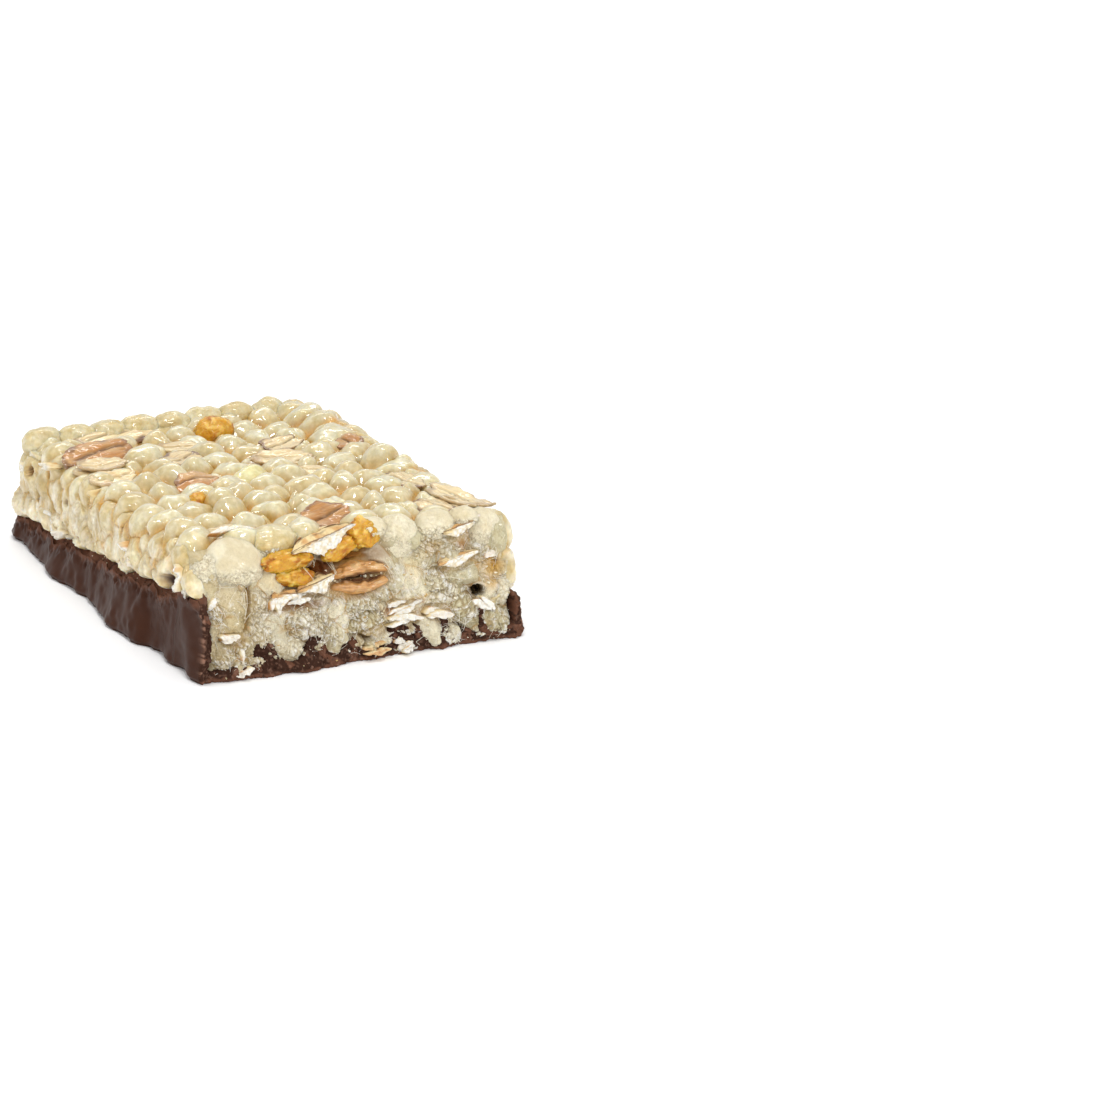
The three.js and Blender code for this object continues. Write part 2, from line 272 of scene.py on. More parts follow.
# Mesh making: whole arrays into foreach_set, points in millimetres
def makeMesh(name, points, faceSets, tint, smooth=True):
    mesh = bpy.data.meshes.new(name)
    points = np.maximum(points, (-99, -99, 0.0))  # nothing reaches below the ground
    mesh.vertices.add(len(points))
    mesh.vertices.foreach_set("co", (np.asarray(points) * 0.001).astype(np.float32).ravel())
    corners = np.concatenate([faces.ravel() for faces in faceSets]).astype(np.int32)
    counts = np.concatenate([np.full(len(faces), faces.shape[1]) for faces in faceSets]).astype(np.int32)
    starts = np.concatenate([[0], np.cumsum(counts)[:-1]]).astype(np.int32)
    mesh.loops.add(len(corners))
    mesh.loops.foreach_set("vertex_index", corners)
    mesh.polygons.add(len(counts))
    mesh.polygons.foreach_set("loop_start", starts)
    mesh.update(calc_edges=True)
    mesh.polygons.foreach_set("use_smooth", np.full(len(counts), smooth))
    layer = mesh.color_attributes.new("tint", "FLOAT_COLOR", "POINT")
    rgba = np.insert(np.reshape(tint, (-1, 3)), 3, 1.0, axis=1)
    layer.data.foreach_set("color", rgba.astype(np.float32).ravel())
    if mesh.validate():
        print("mesh repaired:", name)
    return mesh


def addPiece(name, mesh, material, replaces):
    piece = bpy.data.objects.new(name, mesh)
    bpy.context.scene.collection.objects.link(piece)
    mesh.materials.append(material)
    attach(piece, "root")
    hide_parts(replaces)
    print("made", name, len(mesh.polygons), "faces")


# points round a ball with its poles on x, quads between rings, fans at the poles
def unitBall(segments, rings):
    height = np.arange(1, rings) * math.pi / rings
    turn = np.arange(segments) * 2 * math.pi / segments
    ring = joined(
        np.repeat(np.cos(height), segments),
        np.outer(np.sin(height), np.cos(turn)).ravel(),
        np.outer(np.sin(height), np.sin(turn)).ravel(),
    )
    points = np.concatenate([[[1, 0, 0]], ring, [[-1, 0, 0]]])
    around = np.arange(segments)
    following = (around + 1) % segments
    rows = 1 + segments * np.arange(rings - 2)[:, None]
    quads = joined(rows + around, rows + segments + around, rows + segments + following, rows + following)
    last = 1 + segments * (rings - 2)
    firstFan = joined(0, 1 + around, 1 + following)
    lastFan = joined(len(points) - 1, last + following, last + around)
    return points, [quads.reshape(-1, 4), np.concatenate([firstFan, lastFan])]


def unitBox(cells):  # points of a box from -1 to 1, closed, its shared edges joined
    counts = np.array(cells)
    faces = []
    for axis in range(3):
        second, third = (axis + 1) % 3, (axis + 2) % 3
        for end in (0, 1):
            a, b = np.meshgrid(np.arange(counts[second]), np.arange(counts[third]), indexing="ij")
            corner = []
            for stepA, stepB in ((0, 0), (1, 0), (1, 1), (0, 1)):
                place = np.zeros(a.shape + (3,), int)
                place[..., axis] = end * counts[axis]
                place[..., second] = a + stepA
                place[..., third] = b + stepB
                corner.append(place)
            quad = np.stack(corner if end else corner[::-1], axis=-2)
            faces.append(quad.reshape(-1, 4, 3))
    lattice = np.concatenate(faces)
    keys = (lattice[..., 0] * (counts[1] + 1) + lattice[..., 1]) * (counts[2] + 1) + lattice[..., 2]
    _, first, inverse = np.unique(keys.ravel(), return_index=True, return_inverse=True)
    points = lattice.reshape(-1, 3)[first] / counts * 2 - 1
    return points, inverse.reshape(-1, 4)


def joinCopies(shapes, faceSets):  # many shapes of one pattern, (pieces, points, 3), as one point list
    count, size = shapes.shape[:2]
    shift = (np.arange(count) * size)[:, None, None]
    return shapes.reshape(-1, 3), [(faces[None] + shift).reshape(-1, faces.shape[1]) for faces in faceSets]


# Frames of the faces that carry pieces: point, along and across for two coordinates
def faceFrame(faceName, first, second):
    up = np.array([0.0, 0, 1])
    leanedBreak = np.array([-bar["breakLean"], 0, 1]) / math.hypot(1, bar["breakLean"])
    endLean = bar["farLean"] / bar["farTop"]
    leanedEnd = np.array([endLean, 0, 1]) / math.hypot(1, endLean)
    if faceName == "top":
        return np.array([first, second, topAt(first, second)]), np.array([1.0, 0, 0]), np.array([0, 1.0, 0])
    if faceName == "break":
        return np.array([breakAt(first, second), first, second]), np.array([0, 1.0, 0]), leanedBreak
    if faceName == "left":
        return np.array([first, leftAt(first, second), second]), np.array([1.0, 0, 0]), up
    if faceName == "right":
        return np.array([-first, rightAt(-first, second), second]), np.array([-1.0, 0, 0]), up
    return np.array([farAt(second), -first, second]), np.array([0, -1.0, 0]), leanedEnd


def pieceFrame(faceName, first, second, turn, depth, tilt=0):  # origin and rows along, across, outward
    point, along, across = faceFrame(faceName, first, second)
    outward = np.cross(along, across)
    angle = math.radians(turn)
    turned = along * math.cos(angle) + across * math.sin(angle)
    side = np.cross(outward, turned)
    lean = math.radians(tilt)
    leanedOut = outward * math.cos(lean) + side * math.sin(lean)
    leanedSide = side * math.cos(lean) - outward * math.sin(lean)
    return point - outward * depth, np.stack([turned, leanedSide, leanedOut])


def placeShapes(shapes, frames):  # carries shapes made round the origin onto their frames
    origins = np.array([origin for origin, _ in frames])
    bases = np.array([basis for _, basis in frames])
    return origins[:, None, :] + np.einsum("npk,nkj->npj", shapes, bases)


# Shared shader effects, each a node group with its own inputs
def feed(tree, node, values):  # input name or number to a plain value or to an output socket
    for key, value in values.items():
        if isinstance(value, bpy.types.NodeSocket):
            tree.links.new(value, node.inputs[key])
        else:
            node.inputs[key].default_value = value


def addNode(tree, kind, values=None, **settings):
    node = tree.nodes.new("ShaderNode" + kind)
    for key, value in settings.items():
        setattr(node, key, value)
    feed(tree, node, values or {})
    return node


def calculate(tree, operation, *values):
    return addNode(tree, "Math", dict(enumerate(values)), operation=operation).outputs[0]


def mapRange(tree, value, low, high, outLow=0.0, outHigh=1.0):
    return addNode(tree, "MapRange", {"Value": value, 1: low, 2: high, 3: outLow, 4: outHigh}).outputs[0]


def noiseAt(tree, place, scale, detail=2.0, **settings):
    links = {"Vector": place, "Scale": scale, "Detail": detail}
    return addNode(tree, "TexNoise", {**links, **settings}).outputs["Fac"]


def mixNode(tree, share, first, second, blending="MIX"):
    node = addNode(tree, "Mix", {0: share, 6: first, 7: second}, data_type="RGBA", blend_type=blending)
    return node.outputs[2]


def maskNode(tree, name):
    return addNode(tree, "Attribute", attribute_name=name).outputs["Fac"]


def makeGroup(name, inputs, outputs):  # inputs: kind, title, value; Place is always the first one
    group = bpy.data.node_groups.new(name, "ShaderNodeTree")
    group.interface.new_socket("Place", in_out="INPUT", socket_type="NodeSocketVector")
    for kind, title, value in inputs:
        socket = group.interface.new_socket(title, in_out="INPUT", socket_type="NodeSocket" + kind)
        socket.default_value = value
    for kind, title in outputs:
        group.interface.new_socket(title, in_out="OUTPUT", socket_type="NodeSocket" + kind)
    return group, group.nodes.new("NodeGroupInput").outputs, group.nodes.new("NodeGroupOutput").inputs


def makeMottle():  # a colour is multiplied by a shade in soft patches
    group, start, end = makeGroup("softMottle", [
        ("Color", "Colour", (0.8, 0.8, 0.8, 1)), ("Color", "Shade", (0.5, 0.5, 0.5, 1)),
        ("Float", "Scale", 900.0), ("Float", "Amount", 0.4)], [("Color", "Colour")])
    patches = mapRange(group, noiseAt(group, start["Place"], start["Scale"], 4.0), 0.38, 0.68)
    share = calculate(group, "MULTIPLY", patches, start["Amount"])
    mixed = mixNode(group, share, start["Colour"], start["Shade"], "MULTIPLY")
    group.links.new(mixed, end["Colour"])
    return group


def makeSkin():  # fine pebbled skin with shallow wrinkles
    group, start, end = makeGroup("puffedSkin", [("Float", "Scale", 2200.0), ("Float", "Wrinkles", 0.6)],
                                  [("Float", "Height")])
    pebble = noiseAt(group, start["Place"], start["Scale"], 3.0)
    coarse = calculate(group, "MULTIPLY", start["Scale"], 0.42)
    fold = noiseAt(group, start["Place"], coarse, 2.0, Distortion=0.6)
    crease = calculate(group, "ABSOLUTE", calculate(group, "SUBTRACT", fold, 0.5))
    folded = calculate(group, "MULTIPLY", mapRange(group, crease, 0.0, 0.07), start["Wrinkles"])
    group.links.new(calculate(group, "ADD", folded, pebble), end["Height"])
    return group


def makeSponge():  # torn foam: small open cells between fibrous walls, with a mask of the open cells
    group, start, end = makeGroup("tornSponge", [("Float", "Scale", 2400.0)],
                                  [("Float", "Height"), ("Float", "Open")])
    place, scale = start["Place"], start["Scale"]
    wander = addNode(group, "TexNoise", {"Vector": place, "Scale": scale, "Detail": 2.0}).outputs["Color"]
    tiny = addNode(group, "VectorMath", {0: wander, "Scale": 0.00035}, operation="SCALE").outputs[0]
    moved = addNode(group, "VectorMath", {0: place, 1: tiny}, operation="ADD").outputs[0]
    cells = addNode(group, "TexVoronoi", {"Vector": moved, "Scale": scale}, feature="DISTANCE_TO_EDGE")
    walls = mapRange(group, cells.outputs["Distance"], 0.02, 0.22, 1.0, 0.0)
    fibre = noiseAt(group, moved, calculate(group, "MULTIPLY", scale, 2.3), 5.0, Roughness=0.7)
    total = calculate(group, "MULTIPLY_ADD", walls, 0.6, fibre)
    curl = noiseAt(group, moved, calculate(group, "MULTIPLY", scale, 0.5), 2.0, Distortion=1.2)
    away = calculate(group, "ABSOLUTE", calculate(group, "SUBTRACT", curl, 0.5))
    weak = calculate(group, "MULTIPLY", mapRange(group, total, 0.75, 0.35), 0.25)
    group.links.new(total, end["Height"])
    border = mapRange(group, away, 0.0, 0.035, 1.0, 0.0)
    group.links.new(calculate(group, "MAXIMUM", weak, border), end["Open"])
    return group


mottleGroup, skinGroup, spongeGroup = makeMottle(), makeSkin(), makeSponge()


def startMaterial(name):
    material = bpy.data.materials.new(name)
    material.use_nodes = True
    tree = material.node_tree
    place = addNode(tree, "TexCoord").outputs["Object"]
    tint = addNode(tree, "Attribute", attribute_name="tint").outputs["Color"]
    return material, tree, place, tint


def setShader(tree, colour, height, depth, **values):  # values: other sockets, with _ for a space
    bump = addNode(tree, "Bump", {"Height": height, "Distance": depth, "Strength": 1.0})
    named = {key.replace("_", " "): value for key, value in values.items()}
    shader = tree.nodes["Principled BSDF"]
    feed(tree, shader, {"Base Color": colour, "Normal": bump.outputs["Normal"], **named})


def useGroup(tree, group, **values):
    return addNode(tree, "Group", values, node_tree=group).outputs


def mottled(tree, place, colour, shade, scale, amount):
    values = {"Place": place, "Colour": colour, "Shade": shade, "Scale": scale, "Amount": amount}
    return useGroup(tree, mottleGroup, **values)[0]


def grainMaterial():  # puffed skin under syrup: cream, mottled, fine bubbles, a coat where it is wet
    look = {"mottle": 700.0, "shade": (0.93, 0.83, 0.57, 1), "amount": 0.8,
            "bubbles": 1500.0, "bubbleShade": (1.28, 1.32, 1.5, 1), "relief": 0.00012}
    material, tree, place, tint = startMaterial("glazedGrain")
    mottle = mottled(tree, place, tint, look["shade"], look["mottle"], look["amount"])
    bubbles = mottled(tree, place, mottle, look["bubbleShade"], look["bubbles"], 1.0)
    skin = useGroup(tree, skinGroup, Place=place, Scale=2000.0, Wrinkles=0.5)
    gloss = maskNode(tree, "gloss")
    height = calculate(tree, "MULTIPLY", skin[0], calculate(tree, "SUBTRACT", 1.05, gloss))
    setShader(tree, bubbles, height, look["relief"], Roughness=0.36, Specular_IOR_Level=0.2,
              Coat_Weight=gloss, Coat_Roughness=0.06, Coat_IOR=1.7, Subsurface_Weight=0.8,
              Subsurface_Scale=0.0007, Subsurface_Radius=(1.0, 0.82, 0.52))
    return material


def crumbMaterial():  # the torn face: dry spongy puffs, pale walls round darker cells
    look = {"cells": 4600.0, "pits": (0.22, 0.14, 0.05, 1), "poreShadeShare": (0.62, 0.12),
            "walls": (1.08, 1.09, 1.14, 1), "relief": 0.00005}
    material, tree, place, tint = startMaterial("tornCrumb")
    sponge = useGroup(tree, spongeGroup, Place=place, Scale=look["cells"])
    mottle = mottled(tree, place, tint, look["walls"], 1900.0, 0.6)
    gloss = maskNode(tree, "gloss")
    # the sponge's open cells are painted darker as shade, less where the skin is glossy
    torn = mapRange(tree, gloss, 0.0, 0.15, *look["poreShadeShare"])
    shadedPores = calculate(tree, "MULTIPLY", sponge["Open"], torn)
    setShader(tree, mixNode(tree, shadedPores, mottle, look["pits"]), sponge["Height"], look["relief"],
              Roughness=0.7, Specular_IOR_Level=0.03, Coat_Weight=gloss, Coat_Roughness=0.1,
              Subsurface_Weight=0.3, Subsurface_Scale=0.0005, Subsurface_Radius=(1.0, 0.85, 0.6))
    return material


def flakeMaterial():  # oat and wheat flakes: dark bran streaks and pale streaks painted as highlight along each flake, a thin syrup coat
    look = {"dark": (0.36, 0.2, 0.09, 1), "darkShare": 0.55,
            "pale": (0.74, 0.5, 0.22, 1), "paleShare": 0.45}
    material, tree, _, tint = startMaterial("glazedFlake")
    uv = addNode(tree, "UVMap", uv_map="flakeMap").outputs[0]
    stretched = addNode(tree, "Mapping", {0: uv, "Scale": (1.3, 8.0, 1.0)}).outputs[0]
    moved = {0: uv, "Scale": (2.2, 17.0, 1.0), "Location": (5.0, 3.0, 0.0)}
    finer = addNode(tree, "Mapping", moved).outputs[0]
    streak = noiseAt(tree, stretched, 1.0, 5.0)
    band = mapRange(tree, streak, 0.45, 0.7, 0.0, look["darkShare"])
    gleam = mapRange(tree, noiseAt(tree, finer, 1.0, 3.0), 0.5, 0.75, 0.0, look["paleShare"])
    colour = mixNode(tree, gleam, mixNode(tree, band, tint, look["dark"]), look["pale"])
    setShader(tree, colour, streak, 0.00015, Roughness=0.45, Specular_IOR_Level=0.3, Coat_Weight=0.8,
              Coat_Roughness=0.08, Coat_IOR=1.7, Subsurface_Weight=0.25, Subsurface_Scale=0.0006,
              Subsurface_Radius=(1.0, 0.78, 0.5))
    return material


def chalkMaterial():  # torn flakes: dry and chalky
    material, tree, place, tint = startMaterial("tornFlake")
    setShader(tree, tint, noiseAt(tree, place, 4200.0, 6.0, Roughness=0.75), 0.0001, Roughness=0.9,
              Subsurface_Weight=0.2, Subsurface_Scale=0.0006, Subsurface_Radius=(1.0, 0.9, 0.75))
    return material


def fruitMaterial():  # dried fruit: soft, sugary and translucent
    look = {"shade": (0.8, 0.66, 0.4, 1), "sugar": (1.12, 1.2, 1.7, 1), "relief": 0.00012}
    material, tree, place, tint = startMaterial("driedFruit")
    mottle = mottled(tree, place, tint, look["shade"], 1300.0, 0.5)
    sugar = mottled(tree, place, mottle, look["sugar"], 2600.0, 0.6)
    skin = useGroup(tree, skinGroup, Place=place, Scale=1500.0, Wrinkles=0.4)
    setShader(tree, sugar, skin[0], look["relief"], Roughness=0.45, Specular_IOR_Level=0.25,
              Coat_Weight=0.3, Coat_Roughness=0.15, Subsurface_Weight=0.55, Subsurface_Scale=0.0015,
              Subsurface_Radius=(1.0, 0.5, 0.08))
    return material


def chocolateMaterial():  # milk chocolate: satin skin, rougher and gritty where it is dull
    look = {"shade": (0.8, 0.74, 0.74, 1), "roughness": (0.36, 0.85), "relief": 0.00014}
    material, tree, place, tint = startMaterial("milkChocolate")
    mottle = mottled(tree, place, tint, look["shade"], 420.0, 0.6)
    dull = maskNode(tree, "dull")
    wave = noiseAt(tree, place, 220.0, 1.5)
    gritty = calculate(tree, "MULTIPLY", noiseAt(tree, place, 3400.0, 5.0, Roughness=0.7), dull)
    height = calculate(tree, "MULTIPLY_ADD", wave, 0.4, gritty)
    setShader(tree, mottle, height, look["relief"],
              Roughness=mapRange(tree, dull, 0.0, 1.0, *look["roughness"]),
              Specular_IOR_Level=0.07, IOR=1.4, Subsurface_Weight=0.08, Subsurface_Scale=0.0005,
              Subsurface_Radius=(1.0, 0.5, 0.3))
    return material


def syrupMaterial():  # drawn threads of syrup and starch
    material, tree, place, tint = startMaterial("syrupThread")
    setShader(tree, tint, noiseAt(tree, place, 3000.0), 0.00003, Roughness=0.3, Specular_IOR_Level=0.2)
    return material


materials = {
    "grain": grainMaterial(), "crumb": crumbMaterial(),
    "flake": flakeMaterial(), "chalk": chalkMaterial(), "fruit": fruitMaterial(),
    "chocolate": chocolateMaterial(), "syrup": syrupMaterial(),
}
print("materials made")


def addMask(mesh, name, values):
    layer = mesh.attributes.new(name, "FLOAT", "POINT")
    layer.data.foreach_set("value", np.asarray(values).astype(np.float32).ravel())


# A closed plate: a fine front grid from -1 to 1 both ways, walls of loops behind it and a fan that closes
# the back
def cappedGrid(columns, rows, loops):
    across, up = np.meshgrid(np.linspace(-1, 1, columns + 1), np.linspace(-1, 1, rows + 1), indexing="ij")
    index = np.arange(across.size).reshape(across.shape)
    front = joined(index[:-1, :-1], index[1:, :-1], index[1:, 1:], index[:-1, 1:]).reshape(-1, 4)
    border = np.concatenate([index[:-1, 0], index[-1, :-1], index[:0:-1, -1], index[0, :0:-1]])
    count, size = len(border), across.size
    rings = np.concatenate([border[None], size + np.arange(loops * count).reshape(loops, count)])
    ahead = np.roll(rings, -1, axis=1)
    walls = joined(rings[:-1], rings[1:], ahead[1:], ahead[:-1]).reshape(-1, 4)
    fan = joined(rings[-1], size + loops * count, ahead[-1])
    s = np.concatenate([across.ravel(), np.tile(across.ravel()[border], loops), [0]])
    t = np.concatenate([up.ravel(), np.tile(up.ravel()[border], loops), [0]])
    depth = np.concatenate([np.zeros(size), np.repeat(np.arange(1, loops + 1) / loops, count), [1]])
    return s, t, depth, [np.concatenate([front, walls]), fan]


# Puffs on a flat map: the one that each point belongs to, and how far the point lies toward the next one
def puffField(first, second, puffs, limit=1.12):
    # gap = distance in the puff's own half sizes; share = 2 nearest / (nearest + next): 0 at a middle, 1 on
    # a border
    nearest, following = np.full(first.shape, 9.0), np.full(first.shape, 9.0)
    owner = np.zeros(first.shape, int)
    for number, (middleA, middleB, halfA, halfB, turn) in enumerate(puffs):
        reach = 1.9 * max(halfA, halfB)
        near = np.flatnonzero((np.abs(first - middleA) < reach) & (np.abs(second - middleB) < reach))
        offA, offB = first[near] - middleA, second[near] - middleB
        angle = math.radians(turn)
        along = offA * math.cos(angle) + offB * math.sin(angle)
        across = offB * math.cos(angle) - offA * math.sin(angle)
        gap = np.hypot(along / halfA, across / halfB)
        closer = gap < nearest[near]
        following[near] = np.where(closer, nearest[near], np.minimum(following[near], gap))
        owner[near] = np.where(closer, number, owner[near])
        nearest[near] = np.minimum(nearest[near], gap)
    return np.clip(np.maximum(2 * nearest / (nearest + following), nearest / limit), 0, 1), owner


def roundPuffs(first, second, puffs, wander, limit=1.12):
    # points slide outward from each middle by sin(arc) / share and stand out by cos(arc), arc = share of 90
    # degrees
    share, owner = puffField(first + wander, second - wander, [p[:5] for p in puffs], limit)
    listed = np.array(puffs, float)[owner]
    arc = share * math.pi / 2
    slide = 1 + 0.9 * (np.sin(arc) / np.maximum(share, 1e-6) - 1) * (share > 1e-6)
    offA, offB = first - listed[:, 0], second - listed[:, 1]
    angle = np.radians(listed[:, 4])
    along = (offA * np.cos(angle) + offB * np.sin(angle)) / listed[:, 2]
    across = (offB * np.cos(angle) - offA * np.sin(angle)) / listed[:, 3]
    return offA * (slide - 1), offB * (slide - 1), np.cos(arc), share, owner, along, across


# The block's skin as one map: x along the bar, q across it from the middle of the top down both sides
strip = {
    "flatHalf": 13.9, "arc": 2.1, "lowLeft": 1.5, "lowRight": 3.0, "topCrest": 1.4, "sideCrest": 0.75,
    "topDeep": 0.6, "sideDeep": 0.35, "plump": (2.95, 2.4), "sidePlump": (3.0, 2.5), "endRoll": 1.4,
    "grid": (326, 286, 3), "wall": 2.2, "tuck": 3.5,
    # darts: a puff's size, how clear of the others, margin round the pieces, how many are thrown
    "greenGrain": (0.1, -0.5),
    "darts": ((0.88, 3.5, 0.2, 5000), (0.7, 2.9, -0.1, 5000), (0.5, 2.4, -0.4, 4000)),
    "rightAlong": (-24, -19, -9, -4, 0, 4, 8, 10.5, 12.5, 20, 23, 27),
    "rightRise": (0.2, 0.9, 1.0, 0.5, 0.3, 0.5, 0.8, 0.0, -0.8, -1.0, -0.3, 0.4),
}
strip["bend"] = strip["flatHalf"] + strip["arc"] * math.pi / 2


def stripPlace(x, q):  # point and outward way: flat top, quarter circle, then the side wall
    over = np.clip((np.abs(q) - strip["flatHalf"]) / strip["arc"], 0, math.pi / 2)
    down = np.maximum(np.abs(q) - strip["bend"], 0)
    halfY = np.minimum(np.abs(q), strip["flatHalf"]) + strip["arc"] * np.sin(over)
    y = np.sign(q) * halfY
    z = topAt(x, y) - strip["arc"] * (1 - np.cos(over)) - down
    width = np.where(q > 0, rightAt(x, z), -leftAt(x, z)) / bar["blockHalfWidth"]
    return joined(x, y * width, z), joined(0, np.sign(q) * np.sin(over), np.cos(over))


def stripFromTop(y):
    past = min(1.0, max(0.0, abs(y) - strip["flatHalf"]) / strip["arc"])
    return math.copysign(min(abs(y), strip["flatHalf"]) + strip["arc"] * math.asin(past), y)


def stripFromSide(x, z, side):
    return side * (strip["bend"] + float(topAt(x, 16.0 * side)) - strip["arc"] - z)


def stripPuffs():  # the solids' own grains, then darts wherever there is room
    rng = np.random.default_rng(83)
    (plumpA, plumpB), (sideA, sideB) = strip["plump"], strip["sidePlump"]
    placed = [(g[0], stripFromTop(g[1]), plumpA * g[2], plumpB * g[2], g[3], g[4]) for g in topGrains]
    for side, listed in ((-1, leftGrains), (1, rightGrains)):
        for along, height, size, turn, lift in listed:
            q = stripFromSide(-side * along, height, side)
            placed.append((-side * along, q, sideA * size, sideB * size, -side * turn, lift))
    for size, clear, margin, tries in strip["darts"]:
        shrunk = [(p[0], p[1], p[2], p[3] + 2 * margin, p[4] + 2 * margin, p[5]) for p in topPieces]
        darts = joined(rng.uniform(-28, 28, tries), rng.uniform(-24, 24, tries))
        more = rng.random((tries, 3))
        for (x, q), (grow, turn, lift) in zip(darts, more):
            point = stripPlace(np.array([x]), np.array([q]))[0][0]
            taken = np.array(placed)[:, :2]
            crowded = np.min(np.hypot(taken[:, 0] - x, taken[:, 1] - q)) < clear
            outside = x > breakAt(point[1], point[2]) - 1.4 or x < farAt(point[2]) + 1.0 or point[2] < 2.2
            if crowded or outside or (abs(q) < 15 and any(covers(p, x, point[1]) for p in shrunk)):
                continue
            grown = size * (0.93 + 0.16 * grow)
            placed.append((x, q, plumpA * grown, plumpB * grown, 180 * turn, lift - 0.5 * (size < 0.8)))
    return placed


# Pits and slots in the sides: face, along, height, half length, half height, depth
sidePits = [
    ("left", -21.7, 8.7, 0.45, 0.4, 0.9), ("left", 20.8, 7.6, 1.3, 0.9, 1.7),
    ("left", -19.0, 7.0, 0.35, 1.0, 0.7), ("left", -9.6, 8.3, 0.25, 0.3, 0.7),
    ("left", -9.8, 6.6, 0.3, 0.25, 0.7), ("left", 7.0, 9.4, 0.3, 0.8, 0.5),
    ("right", -8.0, 8.4, 0.5, 0.4, 0.9), ("right", 11.0, 7.2, 0.3, 0.7, 0.7),
    ("end", 5.0, 8.0, 0.5, 0.35, 0.8),
]


def rollOver(edge, radius):  # how far a rounded border drops at a distance from its edge
    return radius - np.sqrt(np.maximum(radius**2 - np.maximum(radius - edge, 0) ** 2, 0))


def smoothMax(first, second, soft):  # the larger of two, rounded where they meet
    return np.maximum(first, second) + 0.25 * soft * np.maximum(0, 1 - np.abs(first - second) / soft) ** 2


# lumps, folds along each puff and a groove on some, in millimetres
def puffDetail(along, across, share, owner, seed):
    own = (owner * 0.618) % 1
    local = joined(along + owner * 7.3, across, owner * 3.1)
    lumps = 0.22 * noise3(local * 1.4, seed) + 0.1 * noise3(local * 3.1, seed + 1)
    folds = -0.09 * np.abs(noise3(local * np.array([1.5, 4.0, 1]), seed + 2))
    groove = -0.3 * (own < 0.22) * np.exp(-((across / 0.16) ** 2)) * (1 - share**2)
    return (lumps + folds + groove) * (1 - share**4)


# pale crowns; flanks painted yellower as shade and as light through the grain; the amber toward the creases
# is partly syrup and partly painted shade
def puffColour(points, share, owner, seamSyrupAndShade):  # pale crowns, yellower flanks, amber toward the creases
    pick = (owner * 0.618) % 1
    base = layered(linear("grain"), ("grainYellow", 0.5 * pick**1.5))
    base = base * (0.95 + 0.08 * ((owner * 0.377) % 1))[:, None]
    patch = step(noise3(points * 0.35, 82), -0.4, 0.4)
    seam = step(share, 0.8 - 0.25 * patch, 1.0) * (0.5 + 0.5 * patch) * seamSyrupAndShade
    return layered(base, ("grainYellow", 0.95 * step(share, 0.4, 0.85)), ("amber", np.minimum(seam, 0.95)))


# curled crumb: thin crevices between torn ridges, finer pores, and a mask of both for painted shade in them
def foamRelief(spots, rough):
    bent = spots + 0.24 * joined(*(noise3(spots * 2.1, seed) for seed in (43, 44, 45)))
    billow = 0.5 - np.abs(noise3(bent * 1.2, 33))
    curl = 0.5 - np.abs(noise3(bent * 2.8, 34))
    clump, clumpNext, _ = cells3(bent / 0.55, 37)
    pore, poreNext, _ = cells3(bent / 0.3, 38)
    crevice = 1 - step(clumpNext - clump, 0.0, 0.17)
    fine = 1 - step(poreNext - pore, 0.0, 0.3)
    patchy = step(noise3(spots * 0.6, 40), -0.9, 0.1)
    relief = 0.24 * billow + 0.16 * curl + patchy * (0.1 - 0.26 * crevice - 0.12 * fine)
    return relief * rough, np.maximum(crevice, 0.6 * fine) * patchy * rough


